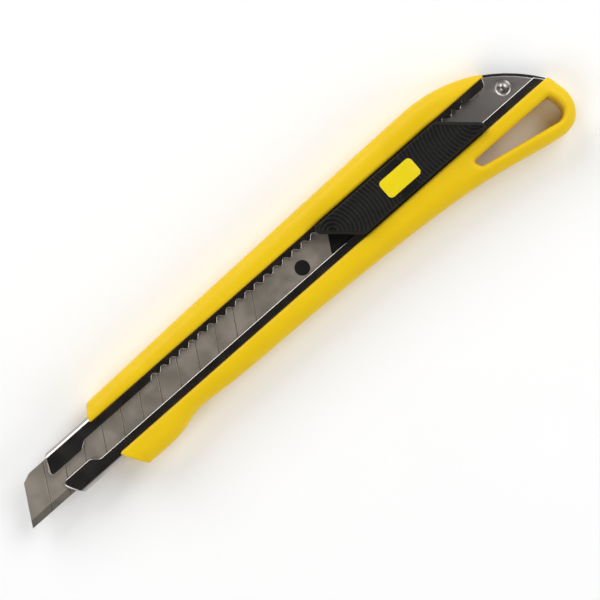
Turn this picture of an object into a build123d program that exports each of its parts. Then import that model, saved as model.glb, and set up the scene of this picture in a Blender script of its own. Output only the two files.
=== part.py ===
from build123d import *
import os
from math import atan, cos, hypot, radians, sin, sqrt, tan

# A snap-off utility knife that takes a nine millimetre blade.
# X runs from the blade's tip to the hang loop, Y from the cutting edge to the spine, and Z
# from the flat back up out of the front face. The origin is on the back, under the channel's
# centreline, half way along the handle. All sizes are in millimetres and degrees.

# ---- Driving dimensions -------------------------------------------------------------------

# Handle
handle_length = 117.3
handle_height = 9.2
upper_rail_front_width = 3.4
upper_rail_rear_width = 5.25
waist_width = 3.82
swell_width = 5.45
shoulder_setback = 2.25
lower_nose_setback = 0.35
swell_start = 3.7
swell_end = 9.6
waist_place = 19.1
loop_low_inset = 5.4
loop_drop = 11.07
tail_arc_radius = 32.0
tail_shoulder = 1.06
rail_overlap = 1.24
outer_edge_round = 1.8
back_edge_round = 1.0
slot_edge_round = 0.5
hole_edge_round = 0.8
loop_wall = 3.0
hole_length = 24.0
hole_end_upper = 3.3
hole_end_lower = 2.6
hole_floor_wall = 2.45
hole_point_lean = 0.9
hole_point_width = 1.94
hole_point_round = 0.6
hole_lower_round = 2.4
hole_upper_round = 0.9

# Steel channel
channel_width = 11.2
channel_height = 3.2
sheet = 0.5
fold_radius = 0.9
nose_reach = 13.1
nose_gap_half = 1.12
nose_lobe_length = 7.7
nose_slant = 1.9
nose_lower_setback = 0.7
nose_lower_slant = 1.1
lobe_blend = 2.3
lobe_corner_round = 1.1
lip_stop_round = 1.6
lip_stop_inset = 11.5
lip_gap_upper = 2.34
lip_gap_lower = 2.5
floor_setback = 0.5

# Detent rack, cut in the upper lip
clicks_per_segment = 2
rack_depth = 1.1
rack_round = 0.42
rack_lean = 0.56
spare_notches_front = 1
spare_notches_rear = 4

# Blade
blade_width = 9.0
blade_thickness = 0.4
blade_offset = 0.33
segment_pitch = 5.08
tip_segment = 5.3
tang_length = 20.4
cut_angle = 60.0
bevel_width = 1.42
score_depth = 0.1
score_width = 0.26
corner_crop = 0.87
corner_crop_run = 2.1
clicks_out_at_rest = 4
tip_margin = 0.25
tang_hole_radius = 1.6
tang_hole_inset = 7.75
tang_hole_drop = 0.55

# Carriage, spring and pad
slide_clearance = 0.1
stud_clearance = 0.04
stud_height = 0.22
stud_round = 0.15
tongue_thickness = 1.36
tongue_ahead_of_stud = 4.6
tongue_side_gap = 0.6
neck_lower = 2.3
neck_upper = 1.2
head_flange = 0.5
flange_thickness = 0.55
pad_shift = 0.7
pad_length = 42.9
pad_width = 7.8
pad_slant = 8.6
pad_corner_round = 0.95
pad_height = 3.74
pad_dip = 0.8
pad_roof = 1.2
pad_edge_round = 0.5
pad_lead = 2.45
pad_overhang = 9.7
rib_pitch = 0.845
rib_height = 0.35
rib_width = 0.5
rib_centre_reach = 18.6
rib_centre_rise = 0.67
smooth_band = 4.3
label_length = 8.4
label_width = 4.2
label_thickness = 0.15
label_margin = 0.4
label_corner_round = 0.9
leaf_thickness = 0.3
leaf_length = 17.0
nib_backlash = 0.22
nib_ahead = 0.35
nib_flat_half = 0.22
nib_slope = 0.5
under_nib_narrowing = 0.04
under_nib_drop = 0.12
leaf_gap = 0.2
leaf_foot = 1.6
leaf_seat_drop = 0.4
leaf_end_play = 0.3
pocket_wall = 1.2
neck_front_margin = 0.5
neck_rear_margin = 3.5
head_inset = 2.0

# Rivet and end cap
rivet_inset = 8.95
rivet_dome_radius = 1.08
rivet_dome_height = 0.75
rivet_shank_radius = 0.75
dish_radius = 1.58
dish_depth = 0.25
cap_thickness = 2.7
cap_length = 14.65
cap_side_margin = 0.55
cap_wall = 1.0
cap_rim = 0.42
cap_rim_height = 0.35
cap_clearance = 0.06
plug_length = 12.0
plug_width = 6.8
plug_thickness = 1.7
snap_slot_width = 7.2
snap_slot_gap = 0.7
snap_slot_depth = 5.5
snap_slot_run = 9.9
snap_slot_offset = 0.3
tongue_floor = 1.2

# ---- Worked-out places --------------------------------------------------------------------

x_front = -handle_length / 2
x_tail = handle_length / 2
slot_half = channel_width / 2 - rail_overlap
channel_half = channel_width / 2
channel_z = cap_thickness + cap_clearance + tongue_floor
channel_top = channel_z + channel_height
lip_under = channel_top - sheet
floor_top = channel_z + sheet
inner_half = channel_half - sheet

top_y = slot_half + upper_rail_rear_width
arc_y = top_y - tail_arc_radius
arc_x = x_tail - tail_shoulder - sqrt(tail_arc_radius**2 - (slot_half + arc_y)**2)

x_nose = x_front - nose_reach
rack_pitch = segment_pitch / clicks_per_segment
lean = 1 / tan(radians(cut_angle))
edge_y = blade_offset - blade_width / 2
spine_y = blade_offset + blade_width / 2
blade_tip_x = x_nose - clicks_out_at_rest * rack_pitch + tip_margin
tip_line_x = blade_tip_x - edge_y * lean
blade_z = floor_top + slide_clearance + tongue_thickness

rivet_x = x_tail - rivet_inset
carriage_stop_x = rivet_x - rivet_dome_radius - slide_clearance
rear_click_travel = clicks_out_at_rest * rack_pitch
tail_room = carriage_stop_x - rear_click_travel - tip_line_x - tip_segment - tang_length
block_length = pad_length - pad_overhang
segment_count = int((tail_room - block_length) / segment_pitch)
tail_line_x = tip_line_x + tip_segment + segment_count * segment_pitch + tang_length
stud_x = tail_line_x - tang_hole_inset
forward_clicks = (segment_count + 1) * clicks_per_segment

pad_front = tail_line_x - pad_lead
pad_mid = pad_front + pad_length / 2
nib_x = pad_mid - nib_ahead
block_rear = tail_line_x + block_length
block_top = lip_under - slide_clearance
block_floor = floor_top + slide_clearance
pad_under = channel_top + slide_clearance
pad_base_half = pad_width / 2
pad_top = pad_under + pad_height
head_top = pad_top - pad_dip - label_thickness - pad_roof - slide_clearance
leaf_y = neck_upper + leaf_gap
neck_front = pad_front + pad_slant + neck_front_margin
neck_rear = block_rear - neck_rear_margin
leaf_low = block_floor + 1.0
leaf_foot_low = leaf_low - leaf_seat_drop


def box_between(low, high):
    """A box from its lowest corner to its highest."""
    size = [b - a for a, b in zip(low, high)]
    middle = [(a + b) / 2 for a, b in zip(low, high)]
    return Pos(*middle) * Box(*size)


def raised(face, low, high):
    """A flat face on the XY plane carried up from one height to another."""
    return Pos(0, 0, low) * extrude(face, high - low, dir=(0, 0, 1))


def tail_disc(inset, low, high):
    """The round of the tail's arc, set in from it, as a disc."""
    return Pos(arc_x, arc_y, 0) * raised(Circle(tail_arc_radius - inset), low, high)


def skew(points, x_zero, rise):
    """Points given as distances along the knife and across it, with a slant added."""
    return [(x_zero + x + y * rise, y) for x, y in points]


# ---- Handle and cap -----------------------------------------------------------------------

def handle_outline():
    """The handle from in front: straight nose, crowned top edge, tail arc, loop and swell."""
    nose_up = (x_front + 0.05, slot_half)
    shoulder = (x_front + shoulder_setback, slot_half + upper_rail_front_width)
    crest_middle = (
        (shoulder[0] + arc_x) / 2,
        slot_half + (upper_rail_front_width + upper_rail_rear_width) / 2 + 0.17,
    )
    crest = (arc_x, top_y)
    arc_middle_x = arc_x + tail_arc_radius * sin(radians(28))
    arc_middle = (arc_middle_x, arc_y + tail_arc_radius * cos(radians(28)))
    arc_end = (x_tail - tail_shoulder, -slot_half)
    arc_slope = (slot_half * -1 - arc_y, arc_x - arc_end[0])
    loop_low = (x_tail - loop_low_inset, -slot_half - loop_drop)
    loop_side = (x_tail, -slot_half - 0.45 * loop_drop)
    loop_corner = (x_tail - 1.3, -slot_half - 0.826 * loop_drop)
    waist = (x_front + waist_place, -slot_half - waist_width)
    flare = loop_drop - waist_width
    swell_rear = (x_front + swell_end, -slot_half - swell_width)
    swell_front = (x_front + swell_start, -slot_half - swell_width)
    nose_low = (x_front + lower_nose_setback, -slot_half)
    top_edge = Spline(shoulder, crest_middle, crest, tangents=((1.0, 0.03), (1.0, 0.0)))
    tail_edge = ThreePointArc(crest, arc_middle, arc_end)
    loop_edge = Spline(
        arc_end, loop_side, loop_corner, loop_low, tangents=(arc_slope, (-1.0, 0.05))
    )
    grip_edge = Spline(
        loop_low,
        (x_tail - 15.3, -slot_half - waist_width - 0.775 * flare),
        (x_tail - 29.9, -slot_half - waist_width - 0.424 * flare),
        (x_tail - 54.3, -slot_half - waist_width - 0.192 * flare),
        waist,
        tangents=((-1.0, 0.05), (-1.0, 0.02)),
    )
    swell_middle = ((waist[0] + swell_rear[0]) / 2, -slot_half - (waist_width + swell_width) / 2)
    swell_edge = Spline(waist, swell_middle, swell_rear, tangents=((-1.0, 0.02), (-1.0, 0.0)))
    return [
        Line(nose_up, shoulder),
        top_edge,
        tail_edge,
        loop_edge,
        grip_edge,
        swell_edge,
        Line(swell_rear, swell_front),
        Line(swell_front, nose_low),
        Line(nose_low, nose_up),
    ]


def handle_blank():
    """The whole outside of handle and cap, before the channel and loop are cut."""
    blank = raised(make_face(handle_outline()), 0, handle_height)
    rounds = [(-1, outer_edge_round), (0, back_edge_round)]
    for level, radius in rounds:
        face = blank.faces().filter_by(Axis.Z).sort_by(Axis.Z)[level]
        edges = [e for e in face.edges() if e.center().X > x_front + 2.5]
        blank = fillet(edges, radius)
    return blank


def hang_hole():
    """The tapered opening of the hang loop, its wall even with the outline round it."""
    upper = -slot_half - loop_wall
    corners = Polygon(
        (x_tail - hole_length, upper),
        (x_tail - hole_end_upper, upper),
        (x_tail - hole_end_lower, -slot_half - loop_drop + hole_floor_wall),
        (x_tail - hole_length + hole_point_lean, upper - hole_point_width),
        align=None,
    )
    left = corners.vertices().filter_by(lambda v: v.X < x_tail - hole_length / 2)
    hole = fillet(left, hole_point_round)
    right = hole.vertices().sort_by(Axis.X)[-2:]
    low_right = right.sort_by(Axis.Y)[0]
    hole = fillet(low_right, hole_lower_round)
    top_right = [v for v in hole.vertices() if v.X > x_tail - 5 and v.Y > upper - 0.1]
    hole = fillet(top_right, hole_upper_round)
    return raised(hole, 0, handle_height)


def cap_space(clearance):
    """The room at the tail that the end cap fills, or the cap itself with no clearance."""
    side = slot_half - cap_clearance
    slab = box_between(
        (x_tail - cap_length - clearance, -side - clearance, -1),
        (x_tail + 1, slot_half + cap_side_margin + clearance, cap_thickness + clearance),
    )
    wall = box_between(
        (x_tail - cap_length - clearance, -side - clearance, 0),
        (x_tail + 1, slot_half + cap_side_margin + clearance, channel_z),
    )
    wall = wall - tail_disc(cap_wall + clearance, 0, channel_z)
    rim = box_between(
        (x_tail - cap_length - clearance, -side - clearance, channel_z),
        (x_tail + 1, slot_half + cap_side_margin + clearance, channel_z + cap_rim_height + clearance),
    )
    rim = rim - tail_disc(cap_rim + clearance, channel_z - 1, channel_z + 2)
    return slab + wall + rim


def cap_plug(clearance):
    """The tongue of the end cap that is pressed into the handle."""
    low = (cap_thickness - plug_thickness) / 2
    return box_between(
        (x_tail - cap_length - plug_length - clearance, -plug_width / 2 - clearance, low - clearance),
        (x_tail - cap_length + 1, plug_width / 2 + clearance, low + plug_thickness + clearance),
    )


def handle():
    """The yellow moulding: rails, slot, trough for the channel, cap space and hang loop."""
    trough = box_between(
        (x_front - 1, -channel_half, channel_z), (x_tail + 1, channel_half, channel_top)
    )
    trough = fillet(trough.edges().filter_by(Axis.X), fold_radius)
    hole = hang_hole()
    body = handle_blank() - hole
    mouth = [
        e for e in body.edges()
        if e.center().Z > handle_height - 0.01 and on_hole(e.center())
    ]
    body = fillet(mouth, hole_edge_round)
    body = body - rail_slot()
    body = body - trough - cap_space(cap_clearance) - cap_plug(cap_clearance)
    shank = raised(Circle(rivet_shank_radius), channel_z - tongue_floor, channel_z)
    return body - Pos(rivet_x, 0, 0) * shank


def rail_slot():
    """The open slot between the rails, its upper edges flared to a round."""
    flare = slot_half + slot_edge_round
    flare_z = handle_height - slot_edge_round
    low = (x_front - 1, -slot_half, channel_z + 1)
    slot = box_between(low, (x_tail + 1, slot_half, handle_height + 1))
    slot = slot + box_between((x_front - 1, -flare, flare_z), (x_tail + 1, flare, handle_height + 1))
    for side in (-1, 1):
        bead = Pos(0, side * flare, flare_z) * Rot(0, 90, 0)
        slot = slot - bead * Cylinder(slot_edge_round, 2 * handle_length)
    return slot


def on_hole(point):
    """Whether a point on the handle's face lies by the hang hole and not by the outline."""
    inside_x = x_tail - hole_length - 0.6 < point.X < x_tail - 2.0
    inside_y = -slot_half - loop_drop + loop_wall - 1.2 < point.Y < -slot_half - loop_wall + 0.2
    return inside_x and inside_y


def snapper_cap():
    """The black end cap: slab under the channel, wall along the arc, plug and snapping slot."""
    cap = cap_space(0) & handle_blank()
    cap = cap + cap_plug(0)
    middle = cap_thickness / 2
    slot = box_between(
        (x_tail - snap_slot_run, snap_slot_offset - snap_slot_width / 2, middle - snap_slot_gap / 2),
        (x_tail + 1, snap_slot_offset + snap_slot_width / 2, middle + snap_slot_gap / 2),
    )
    inner = tail_disc(snap_slot_depth, 0, cap_thickness)
    return cap - (slot - inner)


# ---- Channel and rivet --------------------------------------------------------------------

def rack_line():
    """The wavy edge of the upper lip: leaning teeth with rounded tips and roots."""
    first = -(forward_clicks + spare_notches_front)
    last = clicks_out_at_rest + spare_notches_rear
    rise = rack_depth + rack_round
    apex = atan(rack_lean * rack_pitch / rise) + atan((1 - rack_lean) * rack_pitch / rise)
    lost = rack_round * (1 / sin(apex / 2) - 1)
    low = lip_gap_upper - lost
    high = lip_gap_upper + rack_depth + lost
    points = [(nib_x + (first - 0.5) * rack_pitch - 3.0, lip_gap_upper)]
    for notch in range(first, last + 1):
        root_x = nib_x + notch * rack_pitch
        points.append((root_x - rack_lean * rack_pitch, low))
        points.append((root_x, high))
    points.append((nib_x + (last + 1 - rack_lean) * rack_pitch, low))
    points.append((nib_x + (last + 0.5) * rack_pitch + 3.0, lip_gap_upper))
    return FilletPolyline(*points, radius=rack_round)


def lip_gap():
    """The open strip between the lips: narrow at the nose lobes, then wide with the rack."""
    rack = rack_line()
    start = rack @ 0
    end = rack @ 1
    lobe_end = x_nose + nose_lobe_length
    blend = lobe_blend
    low_y = -lip_gap_lower
    narrow = nose_gap_half
    slow = lip_stop_round
    nose_round = lobe_corner_round
    upper_corner = min(x_tail - lip_stop_inset, end.X + 2 * rack_pitch)
    edges = [
        Line((x_nose - 3, 0), (x_nose - 3, narrow + nose_round)),
        Line((x_nose - 3, narrow + nose_round), (x_nose - 0.2, narrow + nose_round)),
        Spline(
            (x_nose - 0.2, narrow + nose_round), (x_nose + nose_round + 0.2, narrow),
            tangents=((0.3, -1), (1, 0)),
        ),
        Line((x_nose + nose_round + 0.2, narrow), (lobe_end, narrow)),
        Spline(
            (lobe_end, narrow), (lobe_end + blend, lip_gap_upper), tangents=((1, 0), (1, 0)),
        ),
        Line((lobe_end + blend, lip_gap_upper), (start.X, start.Y)),
        rack,
        Line((end.X, end.Y), (upper_corner - slow, lip_gap_upper)),
        Spline(
            (upper_corner - slow, lip_gap_upper), (upper_corner, slot_half),
            tangents=((1, 0), (0.25, 1)),
        ),
        Line((upper_corner, slot_half), (upper_corner, channel_half + 1)),
        Line((upper_corner, channel_half + 1), (x_tail + 3, channel_half + 1)),
        Line((x_tail + 3, channel_half + 1), (x_tail + 3, low_y)),
        Line((x_tail + 3, low_y), (lobe_end + blend, low_y)),
        Spline(
            (lobe_end + blend, low_y), (lobe_end, -narrow), tangents=((-1, 0), (-1, 0)),
        ),
        Line((lobe_end, -narrow), (x_nose + nose_round + 0.7, -narrow)),
        Spline(
            (x_nose + nose_round + 0.7, -narrow), (x_nose + 0.5, -narrow - nose_round),
            tangents=((-1, 0), (-0.3, -1)),
        ),
        Line((x_nose + 0.5, -narrow - nose_round), (x_nose - 3, -narrow - nose_round)),
        Line((x_nose - 3, -narrow - nose_round), (x_nose - 3, 0)),
    ]
    return raised(make_face(edges), lip_under - fold_radius, channel_top + 1)


def blade_channel():
    """The folded steel channel: floor, two walls, lobed nose and lips, cut off at the tail."""
    outside = box_between(
        (x_nose - 1, -channel_half, channel_z), (x_tail, channel_half, channel_top)
    )
    outside = fillet(outside.edges().filter_by(Axis.X), fold_radius)
    inside = box_between(
        (x_nose - 2, -inner_half, floor_top), (x_tail + 1, inner_half, lip_under)
    )
    inside = fillet(inside.edges().filter_by(Axis.X), fold_radius - sheet)
    nose = Polygon(
        (x_nose + nose_slant, channel_half + 1),
        (x_nose, lip_gap_upper),
        (x_nose + nose_lower_setback, -nose_gap_half - nose_lower_setback),
        (x_nose + nose_slant + nose_lower_slant, -channel_half - 1),
        (x_tail, -channel_half - 1),
        (x_tail, channel_half + 1),
        align=None,
    )
    channel = (outside - inside) & raised(nose, channel_z - 1, channel_top + 1)
    channel = channel - (lip_gap() - box_between(
        (x_nose - 9, -inner_half, floor_top - 1), (x_tail + 9, inner_half, floor_top)
    ))
    keep = tail_disc(floor_setback, channel_z - 1, channel_top + 1) + box_between(
        (x_nose - 5, -channel_half - 1, channel_z - 1), (arc_x, channel_half + 1, channel_top + 1)
    )
    channel = channel & keep
    dish = Pos(rivet_x, 0, floor_top - dish_depth) * Cone(
        rivet_dome_radius, dish_radius, dish_depth, align=(Align.CENTER, Align.CENTER, Align.MIN)
    )
    shank = raised(Circle(rivet_shank_radius), channel_z, floor_top)
    return channel - dish - Pos(rivet_x, 0, 0) * shank


def channel_rivet():
    """The domed rivet: head in the dish, shank down through channel floor and handle tongue."""
    seat = floor_top - dish_depth
    shank = raised(Circle(rivet_shank_radius), channel_z - tongue_floor, seat)
    shank = Pos(rivet_x, 0, 0) * shank
    rise = rivet_dome_height
    sphere_radius = (rivet_dome_radius**2 + rise**2) / (2 * rise)
    ball = Pos(rivet_x, 0, seat + rise - sphere_radius) * Sphere(sphere_radius)
    half = box_between(
        (rivet_x - 5, -5, seat), (rivet_x + 5, 5, seat + 2 * rise)
    )
    return shank + (ball & half)


# ---- Blade --------------------------------------------------------------------------------

def snap_blade():
    """The strip of blade steel: slanted ends, ground edge, score lines and tang hole."""
    crop_y = spine_y - corner_crop
    outline = Polygon(
        (tip_line_x + edge_y * lean, edge_y),
        (tip_line_x + crop_y * lean, crop_y),
        (tip_line_x + crop_y * lean + corner_crop_run, spine_y),
        (tail_line_x + spine_y * lean, spine_y),
        (tail_line_x + edge_y * lean, edge_y),
        align=None,
    )
    strip = raised(outline, blade_z, blade_z + blade_thickness)
    middle = blade_z + blade_thickness / 2
    ground = Plane.YZ * Polygon(
        (edge_y, middle),
        (edge_y + bevel_width, blade_z + blade_thickness),
        (spine_y + 1, blade_z + blade_thickness),
        (spine_y + 1, blade_z),
        (edge_y + bevel_width, blade_z),
        align=None,
    )
    start = blade_tip_x - 1
    strip = strip & Pos(start, 0, 0) * extrude(ground, tail_line_x + 8 - start, dir=(1, 0, 0))
    top = blade_z + blade_thickness
    half = score_width / 2
    groove = Plane.XZ * Polygon((-half, 0.001), (half, 0.001), (0, -score_depth), align=None)
    groove = extrude(groove, blade_width, both=True)
    for index in range(segment_count + 1):
        at_x = tip_line_x + tip_segment + index * segment_pitch
        strip = strip - Pos(at_x, 0, top) * Rot(0, 0, cut_angle - 90) * groove
    hole = raised(Circle(tang_hole_radius), blade_z, top)
    return strip - Pos(stud_x, -tang_hole_drop, 0) * hole


# ---- Carriage, spring and pad -------------------------------------------------------------

def spring_room():
    """The pocket for the leaf spring in the carriage, open upwards and to the rack side."""
    return box_between(
        (nib_x - leaf_length / 2 - leaf_end_play, neck_upper, leaf_low),
        (nib_x + leaf_length / 2 + leaf_end_play, inner_half - pocket_wall, head_top),
    )


def blade_carriage():
    """The black slider: tongue with its stud, block behind the blade, neck and T head."""
    half = inner_half - slide_clearance
    gap = slide_clearance
    block = Polygon(
        *skew([(gap, half), (gap, -half)], tail_line_x, lean),
        (block_rear, -half),
        (block_rear, half),
        align=None,
    )
    block = raised(block, block_floor, block_top)
    block = fillet(block.edges().filter_by(Axis.X), fold_radius - sheet)
    tongue = box_between(
        (stud_x - tongue_ahead_of_stud, edge_y + bevel_width, block_floor),
        (tail_line_x + half, spine_y - tongue_side_gap, block_floor + tongue_thickness),
    )
    stud_circle = Circle(tang_hole_radius - stud_clearance)
    stud = raised(stud_circle, blade_z, blade_z + blade_thickness + stud_height)
    stud = Pos(stud_x, -tang_hole_drop, 0) * fillet(stud.edges().sort_by(Axis.Z)[-1], stud_round)
    neck = box_between(
        (neck_front, -neck_lower, block_top), (neck_rear, neck_upper, head_top)
    )
    head = box_between(
        (neck_front + head_inset, -neck_lower - head_flange, head_top - flange_thickness),
        (neck_rear - head_inset, neck_upper + head_flange, head_top),
    )
    body = block + tongue + stud + neck + head
    clip = box_between(
        (nib_x + leaf_length / 2 - leaf_foot, leaf_y, leaf_foot_low),
        (nib_x + leaf_length / 2, leaf_y + leaf_thickness, leaf_low),
    )
    return body - spring_room() - clip


def lock_spring():
    """The spring leaf: flat strip on edge beside the neck, with its nib out in the rack."""
    nib_y = lip_gap_upper + rack_depth - nib_backlash
    near = leaf_y
    far = leaf_y + leaf_thickness
    half = leaf_length / 2
    run = (nib_y - far) * nib_slope
    inner_run = run - under_nib_narrowing
    strip = Polygon(
        (nib_x - half, near),
        (nib_x - half, far),
        (nib_x - nib_flat_half - run, far),
        (nib_x - nib_flat_half, nib_y),
        (nib_x + nib_flat_half, nib_y),
        (nib_x + nib_flat_half + run, far),
        (nib_x + half, far),
        (nib_x + half, near),
        (nib_x + inner_run, near),
        (nib_x, nib_y - leaf_thickness - under_nib_drop),
        (nib_x - inner_run, near),
        align=None,
    )
    leaf = raised(strip, leaf_low, channel_top)
    foot = box_between(
        (nib_x + half - leaf_foot, near, leaf_foot_low), (nib_x + half, far, leaf_low)
    )
    return leaf + foot


def pad_plan(inset):
    """The pad's parallelogram, set in from its edge, its slanted ends running one way."""
    half = pad_base_half - inset
    run = pad_slant / pad_width
    ends = pad_length / 2 - pad_slant / 2 - inset * hypot(pad_slant, pad_width) / pad_width
    return Polygon(
        (pad_mid - ends - half * run, half),
        (pad_mid + ends - half * run, half),
        (pad_mid + ends + half * run, -half),
        (pad_mid - ends + half * run, -half),
        align=None,
    )


def dish_cutter(depth):
    """The large cylinder that hollows the pad's top, sunk by a depth at the pad's middle."""
    radius = (pad_length / 2)**2 / (2 * pad_dip)
    height = pad_top - pad_dip - depth + radius
    return Pos(pad_mid, 0, height) * Rot(90, 0, 0) * Cylinder(radius, pad_width + 4)


def ribs(field):
    """Curved ribs cut from one end's field: rings about a point near that end's corner."""
    end = 1 if field.center().X > pad_mid else -1
    centre = Pos(pad_mid + end * rib_centre_reach, -end * rib_centre_rise, 0)
    farthest = hypot(rib_centre_reach, pad_width)
    pieces_of_rib = []
    for index in range(int(farthest / rib_pitch)):
        radius = (index + 0.5) * rib_pitch
        ring = Circle(radius + rib_width / 2)
        if radius > rib_width:
            ring = ring - Circle(radius - rib_width / 2)
        pieces_of_rib.append(centre * raised(ring, pad_under, pad_top))
    return [field & ring for ring in pieces_of_rib]


def thumb_pad():
    """The black thumb pad: dished parallelogram with ribs, a smooth band and a T slot below."""
    plan = fillet(pad_plan(0).vertices(), pad_corner_round)
    inner_plan = fillet(pad_plan(pad_edge_round).vertices(), pad_corner_round)
    full = raised(inner_plan, pad_under, pad_top) - dish_cutter(0)
    pad = raised(plan, pad_under, pad_top) - dish_cutter(rib_height)
    half_band = smooth_band / 2
    for low_x, high_x in ((-pad_length, -half_band), (half_band, pad_length)):
        field = full & box_between(
            (pad_mid + low_x, -pad_width, pad_under), (pad_mid + high_x, pad_width, pad_top)
        )
        for rib in ribs(field):
            pad = pad + rib
    band = box_between(
        (pad_mid - half_band, -pad_width, pad_under), (pad_mid + half_band, pad_width, pad_top)
    )
    pad = pad + (full & band) + (full & label_blank(label_margin))
    gap = slide_clearance
    shift = pad_shift + gap
    neck_slot = box_between(
        (neck_front - shift, -neck_lower - gap, pad_under - 1),
        (neck_rear + shift, neck_upper + gap, head_top + gap),
    )
    head_low = head_top - flange_thickness - gap
    head_slot = box_between(
        (neck_front + head_inset - shift, -neck_lower - head_flange - gap, head_low),
        (neck_rear - head_inset + shift, neck_upper + head_flange + gap, head_top + gap),
    )
    recess = label_blank(0) & box_between(
        (pad_front, -pad_width, label_z()), (pad_front + pad_length, pad_width, pad_top)
    )
    return pad - neck_slot - head_slot - recess


def label_z():
    """The height of the label's underside."""
    return pad_top - pad_dip - label_thickness


def label_blank(margin):
    """The label's rounded rectangle as a tall block, with a margin all round."""
    face = RectangleRounded(
        label_length + 2 * margin, label_width + 2 * margin, label_corner_round + margin
    )
    return Pos(pad_mid, 0, 0) * raised(face, pad_under, pad_top)


def pad_label():
    """The yellow label: a thin plain plate let into the middle of the pad."""
    face = RectangleRounded(label_length, label_width, label_corner_round)
    return Pos(pad_mid, 0, 0) * raised(face, label_z(), label_z() + label_thickness)


# ---- Write every piece --------------------------------------------------------------------

pieces = {
    "handle": handle,
    "snapper_cap": snapper_cap,
    "blade_channel": blade_channel,
    "channel_rivet": channel_rivet,
    "snap_blade": snap_blade,
    "blade_carriage": blade_carriage,
    "lock_spring": lock_spring,
    "thumb_pad": thumb_pad,
    "pad_label": pad_label,
}

os.makedirs("parts", exist_ok=True)
for name, build in pieces.items():
    shape = build()
    export_step(shape, f"parts/{name}.step")
    print(name, len(shape.solids()), round(shape.volume, 2))
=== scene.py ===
"""A snap-off utility knife: its finished pieces, their finishes, the studio and the camera.

Lengths in the classes are millimetres in the knife's own frame: X runs from the blade's tip to
the hang loop, Y from the cutting edge to the spine, and Z up from the flat back.
"""
import logging
import math
from dataclasses import dataclass
from enum import Enum

import bmesh
import bpy
import numpy as np
from mathutils import Matrix, Vector


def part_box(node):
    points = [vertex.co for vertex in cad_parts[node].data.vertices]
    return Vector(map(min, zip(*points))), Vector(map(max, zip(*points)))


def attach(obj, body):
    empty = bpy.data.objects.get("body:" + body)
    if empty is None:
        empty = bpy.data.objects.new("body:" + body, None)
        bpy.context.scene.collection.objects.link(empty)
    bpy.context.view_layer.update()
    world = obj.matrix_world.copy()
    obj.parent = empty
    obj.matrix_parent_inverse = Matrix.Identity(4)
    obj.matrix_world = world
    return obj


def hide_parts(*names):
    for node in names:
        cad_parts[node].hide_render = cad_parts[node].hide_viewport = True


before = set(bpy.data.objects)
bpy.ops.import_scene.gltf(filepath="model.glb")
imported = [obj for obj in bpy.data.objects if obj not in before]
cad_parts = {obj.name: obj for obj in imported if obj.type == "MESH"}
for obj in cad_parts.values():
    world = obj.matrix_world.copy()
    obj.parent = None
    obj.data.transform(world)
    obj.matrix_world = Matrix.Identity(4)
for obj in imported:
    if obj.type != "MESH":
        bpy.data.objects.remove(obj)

Array = np.ndarray
Point = tuple[float, float]
Colour = tuple[float, float, float, float]

MM = 0.001
WELD = 1e-4
CHANNEL_FLOOR = 0.75
log = logging.getLogger("knife")


# ---- Curves and distances in the plan ------------------------------------------------------

def box_mm(node: str) -> tuple[Array, Array]:
    """Give a CAD node's lowest and highest corners in millimetres.

    Args:
        node: The node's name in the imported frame.

    Returns:
        The two corners at rest.
    """
    low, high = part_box(node)
    return np.array(low) / MM, np.array(high) / MM


def smooth_step(value: Array, low: float, high: float) -> Array:
    """Ease from 0 at low to 1 at high: 3t^2 - 2t^3 of the clipped share t.

    Args:
        value: Where to evaluate.
        low: Start of the ease.
        high: End of the ease.

    Returns:
        The eased share.
    """
    share = np.clip((np.asarray(value, float) - low) / (high - low), 0, 1)
    return share * share * (3 - 2 * share)


def spline(points: Array, count: int, start: Point | None = None, end: Point | None = None) -> Array:
    """Sample a cubic spline over chord length, natural or with given end directions.

    Args:
        points: The points that the curve passes through, in order.
        count: How many samples, evenly spaced in chord length.
        start: Unit direction at the first point, or None for no bending there.
        end: Unit direction at the last point, or None for no bending there.

    Returns:
        The samples, one row each.
    """
    pts = np.asarray(points, float)
    knots = np.concatenate([[0], np.cumsum(np.linalg.norm(np.diff(pts, axis=0), axis=1))])
    step = np.diff(knots)
    slope = np.diff(pts, axis=0) / step[:, None]
    size = len(knots)
    matrix, right = np.zeros((size, size)), np.zeros((size, 2))
    inner = np.arange(1, size - 1)
    matrix[inner, inner - 1] = step[:-1]
    matrix[inner, inner] = 2 * (step[:-1] + step[1:])
    matrix[inner, inner + 1] = step[1:]
    right[1:-1] = 6 * np.diff(slope, axis=0)
    matrix[0, 0] = matrix[-1, -1] = 1
    if start is not None:
        matrix[0, :2] = 2 * step[0], step[0]
        right[0] = 6 * (slope[0] - np.array(start))
    if end is not None:
        matrix[-1, -2:] = step[-1], 2 * step[-1]
        right[-1] = 6 * (np.array(end) - slope[-1])
    bend = np.linalg.solve(matrix, right)
    at = np.linspace(0, knots[-1], count)
    k = np.clip(np.searchsorted(knots, at, side="right") - 1, 0, size - 2)
    ahead, behind, h = (at - knots[k])[:, None], (knots[k + 1] - at)[:, None], step[k][:, None]
    cubic = (bend[k] * behind**3 + bend[k + 1] * ahead**3) / (6 * h)
    return cubic + (pts[k] / h - bend[k] * h / 6) * behind + (pts[k + 1] / h - bend[k + 1] * h / 6) * ahead


def resample(line: Array, shares: Array) -> Array:
    """Take points at shares of a polyline's whole length.

    Args:
        line: The polyline's points.
        shares: Shares from 0 to 1.

    Returns:
        One point for each share.
    """
    run = np.concatenate([[0], np.cumsum(np.linalg.norm(np.diff(line, axis=0), axis=1))])
    at = np.asarray(shares) * run[-1]
    return np.stack([np.interp(at, run, line[:, axis]) for axis in range(line.shape[1])], -1)


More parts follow.
